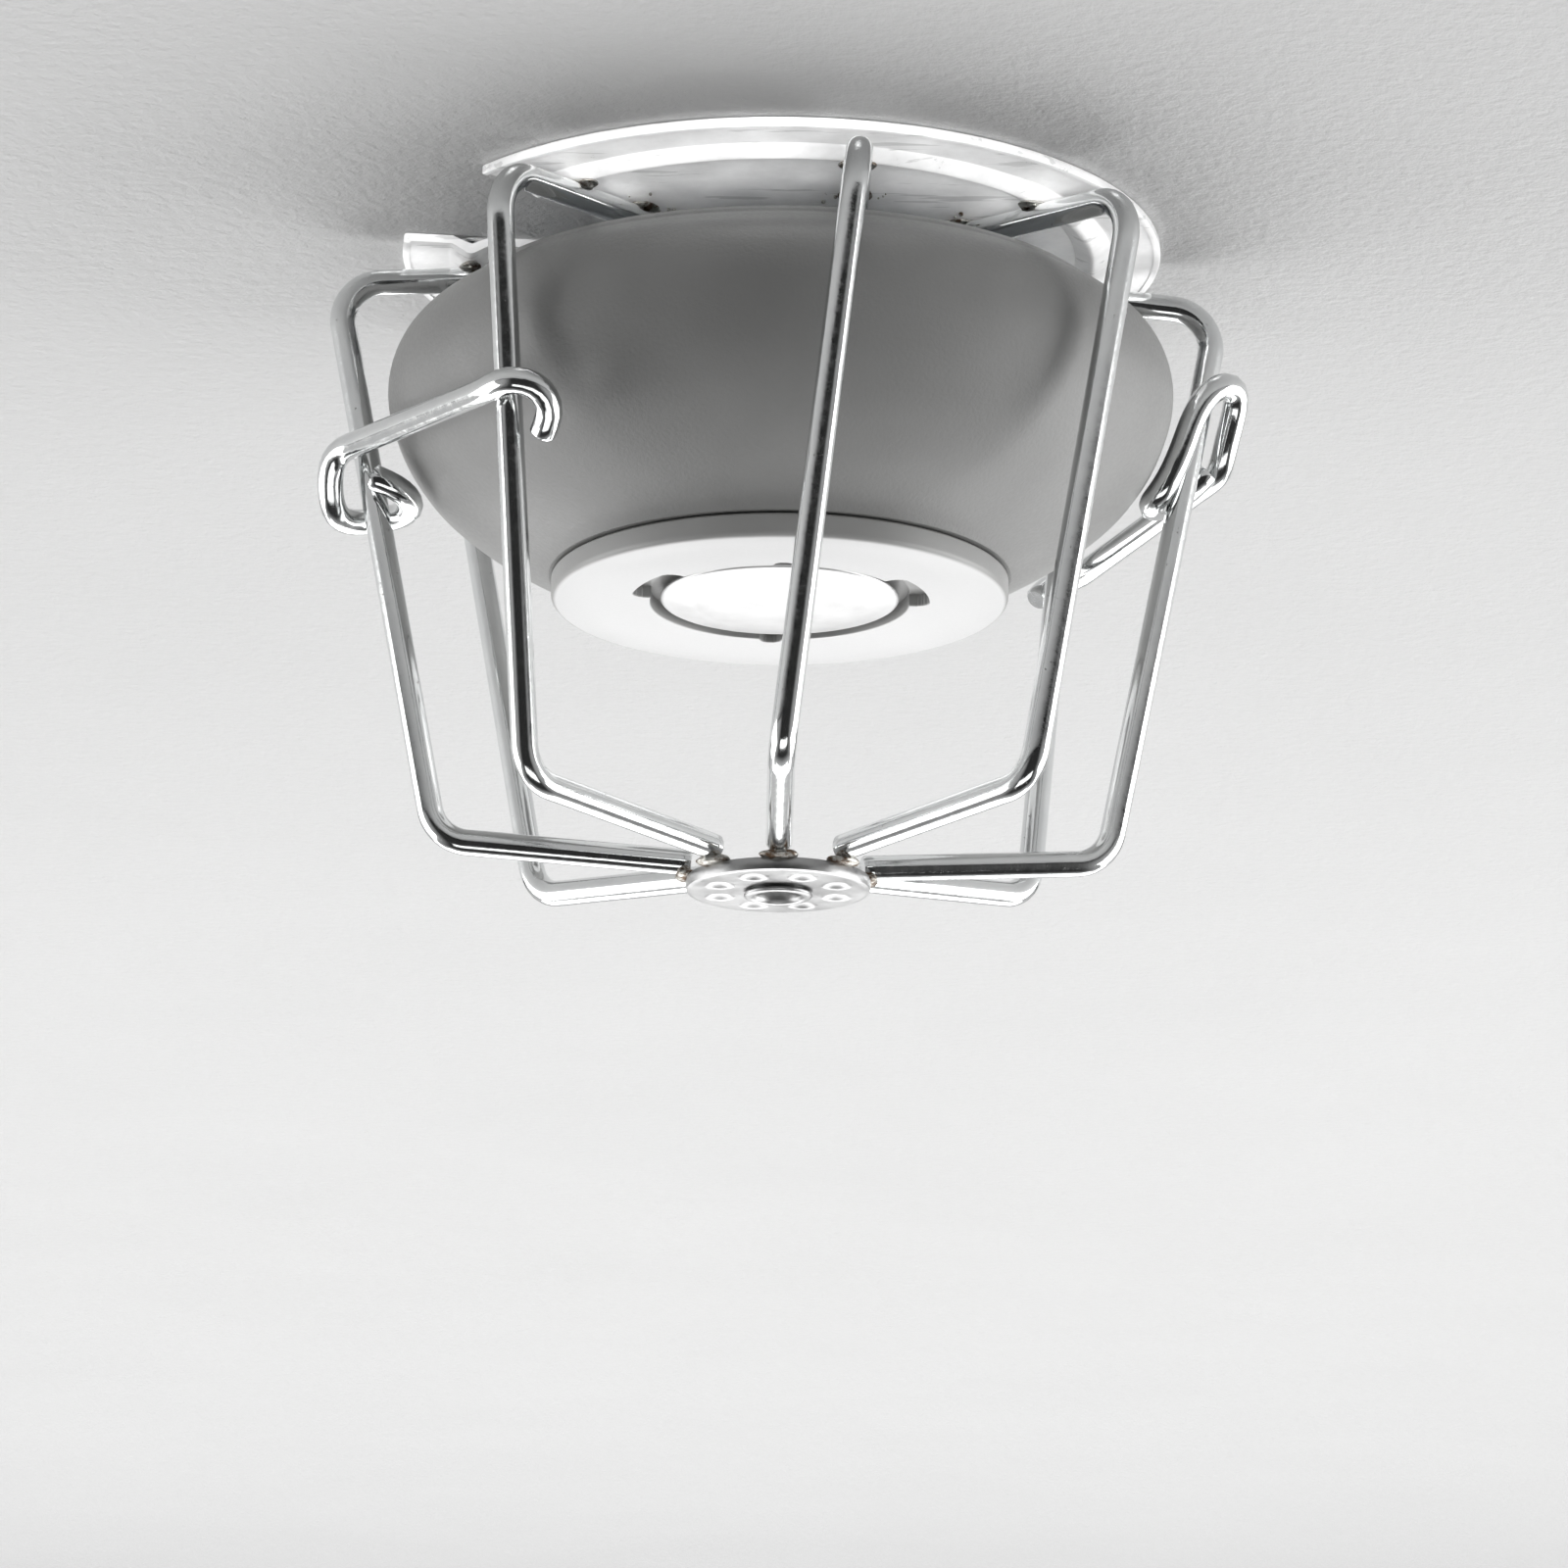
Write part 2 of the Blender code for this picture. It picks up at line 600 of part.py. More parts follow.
def pressure_chamber(cup_surface, ring_surface, skin_surface, vent_surface):
    cup = revolve(
        "chamber_cup",
        [
            (4.6, CUP_Z + 0.8), (CUP_R - 1.6, CUP_Z + 0.8), (CUP_R - 0.8, CUP_Z + 1.6), (CUP_R - 0.8, CUP_TOP_Z),
            (CUP_FLANGE_R, CUP_TOP_Z), (CUP_FLANGE_R, CUP_TOP_Z - 0.8), (CUP_R, CUP_TOP_Z - 0.8), (CUP_R, CUP_Z + 1.0),
            (CUP_R - 1.0, CUP_Z), (4.6, CUP_Z),
        ],
        cup_surface, 40,
    )
    combine(cup, cylinder("cutter_vent", 1.9, CUP_Z - 2, CUP_Z + 2, cup_surface, 12, (14.0, 0.0)))
    settle(cup)
    vent = [
        (0.5, CUP_Z + 1.4), (1.6, CUP_Z + 1.4), (1.6, CUP_Z - GAP), (2.6, CUP_Z - GAP), (2.6, CUP_Z - 1.4),
        (0.5, CUP_Z - 1.4),
    ]
    revolve("vent_plug", vent, vent_surface, 16, (14.0, 0.0))
    ring = [
        (CUP_R - 1.4, CUP_TOP_Z + 2.0), (CUP_FLANGE_R, CUP_TOP_Z + 2.0), (CUP_FLANGE_R, CUP_TOP_Z + GAP),
        (CUP_R - 1.4, CUP_TOP_Z + GAP),
    ]
    revolve("clamp_ring", ring, ring_surface, 40)
    low = CUP_TOP_Z + GAP
    skin = [
        (0.0, low + 0.3), (6.0, low + 0.3), (8.0, low + 0.8), (10.0, low + 0.3), (13.0, low + 0.3), (15.0, low + 0.8),
        (17.0, low + 0.3), (DIAPHRAGM_R, low + 0.3), (DIAPHRAGM_R, low), (17.0, low), (15.0, low + 0.5), (13.0, low),
        (10.0, low), (8.0, low + 0.5), (6.0, low), (0.0, low),
    ]
    revolve("diaphragm", skin, skin_surface, 32)
    cylinder("diaphragm_button", 2.2, low + 0.3 + GAP, low + 3.5, ring_surface, 16)
    cylinder("diaphragm_nub", 2.2, low - 2.0, low - GAP, ring_surface, 16)
    for k, turn in enumerate((0, 120, 240)):
        x, y, _ = at(26.0, turn + 60, 0.0)
        low_end = CUP_TOP_Z + 2.0 + GAP
        cylinder(f"standoff_{k + 1}", 1.8, low_end, CARRIER_TOP_Z - CARRIER_T - GAP, ring_surface, 16, (x, y))


def contact_carrier(surface):
    low = CARRIER_TOP_Z - CARRIER_T
    profile = [
        (0.0, CARRIER_TOP_Z), (CARRIER_R - 0.4, CARRIER_TOP_Z), (CARRIER_R, CARRIER_TOP_Z - 0.4), (CARRIER_R, low + 0.4),
        (CARRIER_R - 0.4, low), (0.0, low),
    ]
    carrier = revolve("contact_carrier", profile, surface, 48)
    for k, turn in enumerate(BOSS_TURNS):
        x, y, _ = at(BOSS_R, turn, 0.0)
        combine(carrier, cylinder(f"cutter_carrier_{k}", 1.5, low - 1, CARRIER_TOP_Z + 1, surface, 12, (x, y)))
    return settle(carrier)


def carrier_screws(surface):
    for k, turn in enumerate(BOSS_TURNS):
        x, y, _ = at(BOSS_R, turn, 0.0)
        seat = CARRIER_TOP_Z + GAP
        profile = [
            (0.0, seat + 1.3), (1.8, seat + 1.3), (2.4, seat + 0.8), (2.4, seat), (1.0, seat), (1.0, -30.0), (0.0, -31.0),
        ]
        revolve(f"carrier_screw_{k + 1}", profile, surface, 16, (x, y))


def contacts(blade_surface, tip_surface, block_surface):
    """A fixed and a moving contact blade, each on its own insulating post under the carrier."""
    top = CARRIER_TOP_Z - CARRIER_T - GAP
    block("contact_post_moving", (10.0, -3.5, -26.2), (16.0, 3.5, top), block_surface, 0.0, 0.3)
    moving = block("contact_blade_moving", (-3.0, -2.4, -26.9), (15.6, 2.4, -26.5), blade_surface)
    set_origin(moving, Vector(BLADE_HINGE))
    cylinder("contact_tip_moving", 1.3, -26.2, -25.5, tip_surface, 16, (-1.0, 0.0))
    block("contact_post_fixed", (-16.0, -3.5, -23.6), (-10.0, 3.5, top), block_surface, 0.0, 0.3)
    block("contact_blade_fixed", (-15.6, -2.4, -24.3), (2.0, 2.4, -23.9), blade_surface)


def build():
    clear_scene()
    chrome = material("chrome_wire", (0.80, 0.81, 0.82), 0.12, 1.0)
    plated = material("plated_sheet", (0.72, 0.72, 0.71), 0.30, 1.0)
    white = material("white_housing", (0.80, 0.80, 0.78), 0.50)
    pale = material("white_face", (0.88, 0.88, 0.86), 0.45)
    silver = material("collector_metal", (0.86, 0.86, 0.85), 0.28, 1.0)
    brass = material("brass", (0.78, 0.60, 0.30), 0.30, 1.0)
    alloy = material("fusible_alloy", (0.55, 0.56, 0.58), 0.45, 1.0)
    steel = material("screw_steel", (0.62, 0.62, 0.62), 0.35, 1.0)
    grey = material("grey_moulding", (0.42, 0.43, 0.44), 0.55)
    copper = material("contact_alloy", (0.80, 0.52, 0.36), 0.32, 1.0)

    guard_plate("guard_plate_near", NEAR_PLATE_ARC, plated)
    guard_plate("guard_plate_far", FAR_PLATE_ARC, plated)
    for name in WIRES:
        guard_wire(name, chrome)
    hub_disc(plated)
    hub_eyelet(plated)
    latch_links(chrome)

    mounting_stem(grey)
    mounting_bracket(grey)
    for name, x in (("a", -11.0), ("b", 11.0)):
        pan_screw("stem_screw_" + name, 2.1, 4.2, -0.3, -5.9, 2.6, (x, 0.0), steel)
        seat = BRACKET_TOP_Z - BRACKET_T - GAP
        pan_screw("bracket_screw_" + name, 1.7, 3.4, -4.6, seat, 1.9, bracket_hole(name), steel)
    terminals(brass, steel)

    housing_shell(white)
    element_cap(pale)
    collector(silver, brass)
    fusible_ring(alloy)
    guide_bush(brass)
    plunger(steel)
    plunger_spring(steel)
    pressure_chamber(brass, steel, copper, brass)
    contact_carrier(grey)
    carrier_screws(steel)
    contacts(copper, silver, grey)


build()
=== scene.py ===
"""Ceiling heat detector in a latched wire guard: finished pieces, finishes, light and camera.

The origin is at the centre of the ceiling face, with +Z up into the ceiling and -Y towards the near side.
Lengths are in millimetres until a mesh is made.
"""

import math

import bmesh
import bpy
from mathutils import Matrix, Vector


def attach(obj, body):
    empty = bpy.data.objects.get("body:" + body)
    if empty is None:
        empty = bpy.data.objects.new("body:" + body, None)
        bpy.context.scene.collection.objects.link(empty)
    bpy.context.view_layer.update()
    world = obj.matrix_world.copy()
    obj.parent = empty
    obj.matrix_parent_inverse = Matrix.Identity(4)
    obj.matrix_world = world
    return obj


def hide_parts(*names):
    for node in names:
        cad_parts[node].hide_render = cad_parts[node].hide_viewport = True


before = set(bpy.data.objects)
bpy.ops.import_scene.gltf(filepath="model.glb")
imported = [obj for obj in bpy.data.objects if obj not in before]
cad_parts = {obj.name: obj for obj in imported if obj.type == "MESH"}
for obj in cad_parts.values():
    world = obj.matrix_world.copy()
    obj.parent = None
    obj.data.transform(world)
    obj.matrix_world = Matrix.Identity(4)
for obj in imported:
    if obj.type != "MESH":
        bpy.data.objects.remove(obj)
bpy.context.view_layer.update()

MM = 0.001
# Clearance between neighbouring pieces.
GAP = 0.3
# Folds sharper than these stay crisp: on a turned or moulded piece, on wire, and on a weld.
SHARP_DEG, WIRE_SHARP_DEG, WELD_SHARP_DEG = 35.0, 40.0, 80.0
# Settings that several nodes share.
SMOOTH, COLOURS, TIMES = {"interpolation_type": "SMOOTHSTEP"}, {"data_type": "RGBA"}, {"operation": "MULTIPLY"}

# Guard wire, as the frame has it. Each wire has its headings at foot, top and bottom.
WIRE_R = 1.885
BEND_R = 6.0
TOP_R, TOP_Z = 65.0, -6.4
BOTTOM_R, BOTTOM_Z = 49.0, -89.0
FOOT_R, FOOT_Z = 29.0, -3.4
SPOKE_R = 12.4
WIRE_SIDES, CUT_CHAMFER, CUT_END_SCALE = 28, 0.4, 0.84
WIRES = {
    "guard_wire_near_left": (-41, -37, -45),
    "guard_wire_near": (21, 9.5, 0.5),
    "guard_wire_near_right": (58, 49, 45),
    "guard_wire_right": (99, 97, 104),
    "guard_wire_far_right": (136, 136, 131),
    "guard_wire_far_left": (-131, -129, -133),
    "guard_wire_left": (-93, -87, -90),
}

# Base plates and their pressed rib.
PLATE_INNER_R, PLATE_R, PLATE_T = 20.0, 55.4, 1.2
RIB_R, RIB_HALF, RIB_DEEP = 45.6, 2.6, 1.4
PLATE_STEPS = 260
PLATE_ARCS = {"guard_plate_near": (-49.5, 106), "guard_plate_far": (125, 278)}

# Hub disc and eyelet. The disc's edge is rounded, and its underside has rings fine enough to hold the dimples.
HUB_R, HUB_T, HUB_Z, HUB_HOLE_R = 13.2, 2.0, -96.4, 4.3
HUB_EDGE, HUB_CORNER, HUB_RINGS, HUB_STEPS = 0.6, 0.15, 40, 240
HUB_DIMPLES, DIMPLE_START, DIMPLE_RING_R = 8, 22.5, 9.0
DIMPLE_R, DIMPLE_LIP, DIMPLE_DEEP = 1.75, 0.35, 0.78
EYELET_TOP, EYELET_WALL, EYELET_STEPS = 0.6, 0.7, 96

# Welds: half sizes of each kind of bead, its height, and how far along the wire it sits from the wire's end.
FOOT_WELD, FOOT_WELD_Z, FOOT_WELD_ALONG = (2.6, 2.5, 0.62), -1.75, 1.6
RIB_WELD, RIB_WELD_Z = (1.7, 2.75, 0.66), -2.95
HUB_WELD, HUB_WELD_LIFT, HUB_WELD_ALONG = (1.7, 2.8, 0.75), 0.25, 0.6
# A bead's lumps, and the drops of spatter on a disc that many times the bead's size.
WELD_LUMP, LUMPS_PER_M = 0.5, 900.0
SPATTER_PER_M2, SPATTER_R, SPATTER_SPREAD, SPATTER_SEED = 90000.0, 0.34, 2.4, 4
# How far the scorching reaches from a weld.
PLATE_SCORCH, WIRE_SCORCH = 5.5, 6.5

# Outer side of the detector's body, as radius and height pairs from the ceiling down.
BODY = [
    (47.9, -10.3), (48.5, -10.9), (48.8, -11.4), (49.8, -12.0), (51.2, -12.9), (53.4, -14.4), (55.2, -16.5),
    (56.4, -19.0), (57.0, -21.9), (56.9, -24.8), (56.3, -27.4), (55.2, -30.4), (53.9, -33.0), (52.1, -35.7),
    (50.4, -37.8), (48.3, -39.8), (45.2, -42.3), (41.8, -44.6), (38.2, -46.7), (34.9, -48.6), (33.4, -49.8),
]
WALL, BODY_STEPS = 2.2, 220
NECK_BORE_R, NECK_FOOT_Z, NECK_TOP_Z = 46.3, -15.0, -10.3
FLOOR_R, FLOOR_Z, FLOOR_TOP_Z, FACE_HOLE_R = 33.0, -49.8, -47.6, 30.5
# Bayonet lugs in the neck and screw bosses inside, each with its headings, radii and heights.
LUG_TURNS, LUG_HALF_TURN = (90, 210, 330), 6
LUG_INNER_R, LUG_OUTER_R, LUG_TOP_Z, LUG_Z = 43.3, 47.2, -10.6, -12.2
BOSS_TURNS, BOSS_R = (30, 150, 270), 37.5
BOSS_BORE_R, BOSS_OUTER_R, BOSS_TOP_Z, BOSS_Z = 1.3, 2.7, -22.0, -45.3

# Face ring: its rim, the skirt that stands in the housing, and the recess.
FACE_R, FACE_TOP_Z, FACE_Z, FACE_STEPS = 33.0, -50.1, -53.6, 720
FACE_BORE_R, FACE_INNER_Z = 5.3, -49.4
SKIRT_ROOT_R, SKIRT_INNER_R, SKIRT_R, SKIRT_TOP_Z = 27.6, 28.2, 30.2, -46.6
RECESS_R, RECESS_Z = 18.7, -51.3
# Slots that open into the recess, as (heading, half turn), with rounded ends, and the round nicks' headings.
SLOTS, SLOT_END = ((-64, 18), (73, 20)), 5.0
SLOT_R, SLOT_DEEP, SLOT_MARGIN, SLOT_RING = 21.6, 1.7, 0.4, 0.16
NICKS, NICK_R = (2, 184), 1.5

# Collector disc. The profile starts a hair off the axis, and the pole is closed afterwards.
COLLECTOR_R, COLLECTOR_Z, COLLECTOR_STEPS = 17.2, -54.1, 180
POLE_R = 0.05

# Latch links: eye knots are (heading, height, radius) round the wire they hang on, and hook knots are
# (along, inward, up) from where the bar crosses the other wire.
LEFT_EYE = [
    (2, -36.7, 4.9), (24, -37.8, 5.1), (52, -39.1, 5.3), (82, -40.3, 5.3), (112, -40.9, 5.2),
    (145, -40.8, 5.2), (180, -40.5, 5.6), (210, -40.4, 6.1), (238, -40.2, 6.4), (262, -38.8, 6.3),
    (280, -36.2, 6.1), (297, -33.6, 6.0), (312, -32.1, 5.8), (330, -31.9, 5.3),
]
LEFT_CROSSING_Z = -37.7
LEFT_HOOK = [
    (3.2, 0.1, 0.1), (6.2, 1.6, 0.3), (8.0, 4.4, -0.2), (8.4, 7.2, -1.8), (7.2, 8.6, -4.2), (5.0, 8.0, -6.0),
]
RIGHT_EYE = [
    (140, -28.8, 4.9), (165, -31.6, 4.7), (192, -34.0, 4.4), (225, -36.0, 4.4), (260, -36.6, 4.4),
    (292, -36.2, 4.4), (318, -34.6, 4.4), (334, -31.6, 4.5), (345, -28.0, 4.7), (351, -24.4, 4.9),
    (362, -20.9, 5.0), (380, -18.4, 5.1), (405, -17.2, 5.2), (430, -17.6, 5.2), (452, -19.6, 5.2),
    (467, -22.6, 5.3), (480, -25.6, 5.6), (496, -28.4, 7.2),
]
RIGHT_CROSSING_Z = -35.9
RIGHT_HOOK = [(2.4, 0.2, 0.1), (4.6, 1.4, -0.3), (5.4, 3.4, -1.4), (5.2, 4.9, -3.4)]
# Knots that keep the bar straight: past the eye, and before the crossing.
BAR_STARTS, BAR_ENDS = (3.0, 6.0), (8.0, 5.0, 2.5)

# The ceiling lies just above the guard's plates.
CEILING_HALF, CEILING_Z = 3000.0, 0.15

# Lamps: name, place, the point it faces, its width and height, and its watts.
LAMPS = [
    ("low_front", (0, -520, -900), (0, -50, 0), (900, 300), 1.7),
    ("far_wash", (0, 1250, -900), (0, 1250, 0), (2600, 1100), 26.0),
    ("low_back", (0, 420, -700), (0, 0, -30), (900, 300), 2.2),
    ("left_side", (-900, 100, -340), (0, 0, -50), (900, 760), 6.0),
    ("right_side", (900, 100, -340), (0, 0, -50), (900, 760), 8.2),
    ("top_fill", (0, 0, 900), (0, 0, 0), (300, 300), 4.0),
]
# A grazing lamp for the base plates alone, which the detector's shoulder would shade from the others.
PLATE_LAMP = ("plate_fill", (0, -800, -350), (0, -40, 0), (800, 300), 19.0)
BACKDROP_LEVEL = 0.82

# Camera: below and in front of the detector, looking up at it.
CAMERA_PLACE, CAMERA_PITCH, CAMERA_ROLL = (0.766, -840.69, -303.25), 14.839, 0.3
LENS, SENSOR, NEAREST_M = 139.5, 36.0, 0.01


# ---- nodes and colours ----


def linear(hex_colour):
    """sRGB hex to the linear colour that a shader takes."""
    parts = [int(hex_colour[i : i + 2], 16) / 255 for i in (1, 3, 5)]
    return (*[p / 12.92 if p <= 0.04045 else ((p + 0.055) / 1.055) ** 2.4 for p in parts], 1.0)


def add(tree, kind, settings=None, values=None, links=None):
    """Adds one node: its properties, the values of its sockets, and the outputs that feed its inputs."""
    made = tree.nodes.new(kind)
    for key, value in (settings or {}).items():
        setattr(made, key, value)
    for key, value in (values or {}).items():
        made.inputs[key].default_value = value
    for key, source in (links or {}).items():
        tree.links.new(source, made.inputs[key])
    return made


def new_finish(name, roughness, metallic=0.0, ior=None):
    """A material with the values that are the same all over it, as (material, its nodes, its shader)."""
    made = bpy.data.materials.new(name)
    made.use_nodes = True
    shader = made.node_tree.nodes["Principled BSDF"]
    shader.inputs["Roughness"].default_value = roughness
    shader.inputs["Metallic"].default_value = metallic
    if ior:
        shader.inputs["IOR"].default_value = ior
    return made, made.node_tree, shader


def object_place(tree):
    return add(tree, "ShaderNodeTexCoord").outputs["Object"]


def pattern(size_mm, detail=3.0, roughness=0.55):
    """The values of a noise whose features are about size_mm across."""
    return {"Scale": 1 / (size_mm * MM), "Detail": detail, "Roughness": roughness}


def span(low, high, to_low=0.0, to_high=1.0):
    """The values that move a range from low to high to another range."""
    return {"From Min": low, "From Max": high, "To Min": to_low, "To Max": to_high}


def raised(tree, shader, *layers):
    """Bump from (height output, depth in mm) layers, one on the next."""
    below = None
    for height, deep in layers:
        links = {"Height": height}
        if below:
            links["Normal"] = below
        values = {"Distance": deep * MM, "Strength": 1.0}
        below = add(tree, "ShaderNodeBump", values=values, links=links).outputs["Normal"]
    tree.links.new(below, shader.inputs["Normal"])


def feed(tree, shader, **outputs):
    """Links outputs to the shader's sockets: base_color is for Base Color."""
    for name, output in outputs.items():
        tree.links.new(output, shader.inputs[name.replace("_", " ").title()])


# ---- finishes ----


def chrome_wire():
    """Bright chrome on drawn steel wire: die lines along it, small pits, and scorched specks near welds."""
    made, tree, shader = new_finish("chrome_plated_drawn_wire", 0.1, 1.0)
    place = object_place(tree)
    section = add(tree, "ShaderNodeAttribute", {"attribute_name": "section"}).outputs["Vector"]
    run = add(tree, "ShaderNodeAttribute", {"attribute_name": "run"}).outputs["Fac"]
    heat = add(tree, "ShaderNodeAttribute", {"attribute_name": "heat"}).outputs["Fac"]
    parts = add(tree, "ShaderNodeSeparateXYZ", links={"Vector": section}).outputs
    along = add(tree, "ShaderNodeMath", TIMES, {1: 0.035}, {0: run}).outputs[0]
    drawn = add(tree, "ShaderNodeCombineXYZ", links={"X": parts[0], "Y": parts[1], "Z": along}).outputs[0]
    # Die lines are a few hundredths of a millimetre apart, drawn 0.35 mm apart so that they show.
    lines = add(tree, "ShaderNodeTexNoise", None, pattern(0.35, 2.0), {"Vector": drawn}).outputs["Fac"]
    pits = add(tree, "ShaderNodeTexNoise", None, pattern(1.3, 4.0, 0.7), {"Vector": place}).outputs["Fac"]
    waves = add(tree, "ShaderNodeTexNoise", None, pattern(7.0, 2.0), {"Vector": place}).outputs["Fac"]
    specks = add(tree, "ShaderNodeTexNoise", None, pattern(1.1, 5.0, 0.75), {"Vector": place}).outputs["Fac"]
    blots = add(tree, "ShaderNodeTexNoise", None, pattern(0.8, 2.0), {"Vector": place}).outputs["Fac"]
    speck = add(tree, "ShaderNodeMapRange", SMOOTH, span(0.5, 0.62), {"Value": specks}).outputs[0]
    rare = add(tree, "ShaderNodeMapRange", SMOOTH, span(0.72, 0.76, 0.0, 0.55), {"Value": blots}).outputs[0]
    hotter = add(tree, "ShaderNodeMath", TIMES, {1: 1.3}, {0: heat}).outputs[0]
    reached = add(tree, "ShaderNodeMath", {"operation": "MINIMUM"}, {1: 1.0}, {0: hotter}).outputs[0]
    scorch = add(tree, "ShaderNodeMath", TIMES, None, {0: reached, 1: speck}).outputs[0]
    dark = add(tree, "ShaderNodeMath", {"operation": "MAXIMUM"}, None, {0: scorch, 1: rare}).outputs[0]
    tones = {6: linear("#cfd1d2"), 7: linear("#e6e7e6")}
    clean = add(tree, "ShaderNodeMix", COLOURS, tones, {0: waves}).outputs[2]
    stained = add(tree, "ShaderNodeMix", COLOURS, {7: linear("#4b4038")}, {0: dark, 6: clean}).outputs[2]
    polish = add(tree, "ShaderNodeMapRange", None, span(0.3, 0.75, 0.05, 0.2), {"Value": pits}).outputs[0]
    burnt = add(tree, "ShaderNodeMath", TIMES, {1: 0.4}, {0: dark}).outputs[0]
    rough = add(tree, "ShaderNodeMath", {"operation": "ADD"}, None, {0: polish, 1: burnt}).outputs[0]
    feed(tree, shader, base_color=stained, roughness=rough)
    raised(tree, shader, (waves, 0.03), (lines, 0.006), (pits, 0.012))
    return made


def plated_sheet(name, metallic, light, dark):
    """Zinc plate on pressed steel sheet: satin, with rolling lines, handling marks and heat tint at welds."""
    made, tree, shader = new_finish(name, 0.32, metallic)
    place = object_place(tree)
    heat = add(tree, "ShaderNodeAttribute", {"attribute_name": "heat"}).outputs["Fac"]
    long = add(tree, "ShaderNodeMapping", None, {"Scale": (0.06, 1.0, 1.0)}, {"Vector": place}).outputs[0]
    rubbed = add(tree, "ShaderNodeMapping", None, {"Scale": (0.12, 1.0, 1.0)}, {"Vector": place}).outputs[0]
    cloud = add(tree, "ShaderNodeTexNoise", None, pattern(9.0, 4.0, 0.6), {"Vector": place}).outputs["Fac"]
    grain = add(tree, "ShaderNodeTexNoise", None, pattern(0.7, 4.0, 0.7), {"Vector": place}).outputs["Fac"]
    # Rolling lines are drawn 0.5 mm apart, coarser than the mill leaves them, so that they show.
    rolled = add(tree, "ShaderNodeTexNoise", None, pattern(0.5, 3.0, 0.6), {"Vector": long}).outputs["Fac"]
    rubs = add(tree, "ShaderNodeTexNoise", None, pattern(2.2, 6.0, 0.5), {"Vector": rubbed}).outputs["Fac"]
    specks = add(tree, "ShaderNodeTexNoise", None, pattern(1.3, 5.0, 0.75), {"Vector": place}).outputs["Fac"]
    scratch = add(tree, "ShaderNodeMapRange", SMOOTH, span(0.63, 0.66), {"Value": rubs}).outputs[0]
    speck = add(tree, "ShaderNodeMapRange", SMOOTH, span(0.46, 0.6), {"Value": specks}).outputs[0]
    scorch = add(tree, "ShaderNodeMath", TIMES, None, {0: heat, 1: speck}).outputs[0]
    spread = add(tree, "ShaderNodeMapRange", None, span(0.3, 0.7), {"Value": cloud}).outputs[0]
    tones = {6: linear(dark), 7: linear(light)}
    clean = add(tree, "ShaderNodeMix", COLOURS, tones, {0: spread}).outputs[2]
    faint = add(tree, "ShaderNodeMath", TIMES, {1: 0.4}, {0: scratch}).outputs[0]
    worn = add(tree, "ShaderNodeMix", COLOURS, {7: linear("#8d8e8d")}, {0: faint, 6: clean}).outputs[2]
    tinted = add(tree, "ShaderNodeMix", COLOURS, {7: linear("#54473b")}, {0: scorch, 6: worn}).outputs[2]
    satin = add(tree, "ShaderNodeMapRange", None, span(0.25, 0.75, 0.2, 0.36), {"Value": cloud}).outputs[0]
    fine = add(tree, "ShaderNodeMath", TIMES, {1: 0.12}, {0: grain}).outputs[0]
    rough = add(tree, "ShaderNodeMath", {"operation": "ADD"}, None, {0: satin, 1: fine}).outputs[0]
    feed(tree, shader, base_color=tinted, roughness=rough)
    raised(tree, shader, (cloud, 0.16), (rolled, 0.012), (grain, 0.02))
    return made


def weld_metal():
    """Bare weld bead and spatter: grey steel, scaled brown where it cooled."""
    made, tree, shader = new_finish("resistance_weld_bead", 0.45, 1.0)
    place = object_place(tree)
    scale = add(tree, "ShaderNodeTexNoise", None, pattern(1.6, 5.0, 0.7), {"Vector": place}).outputs["Fac"]
    grit = add(tree, "ShaderNodeTexNoise", None, pattern(0.4), {"Vector": place}).outputs["Fac"]
    scaled = add(tree, "ShaderNodeMapRange", SMOOTH, span(0.42, 0.62), {"Value": scale}).outputs[0]
    tones = {6: linear("#b4b3ae"), 7: linear("#5c4a3a")}
    tone = add(tree, "ShaderNodeMix", COLOURS, tones, {0: scaled}).outputs[2]
    rough = add(tree, "ShaderNodeMapRange", None, span(0.3, 0.7, 0.25, 0.6), {"Value": scale}).outputs[0]
    feed(tree, shader, base_color=tone, roughness=rough)
    raised(tree, shader, (scale, 0.08), (grit, 0.02))
    return made


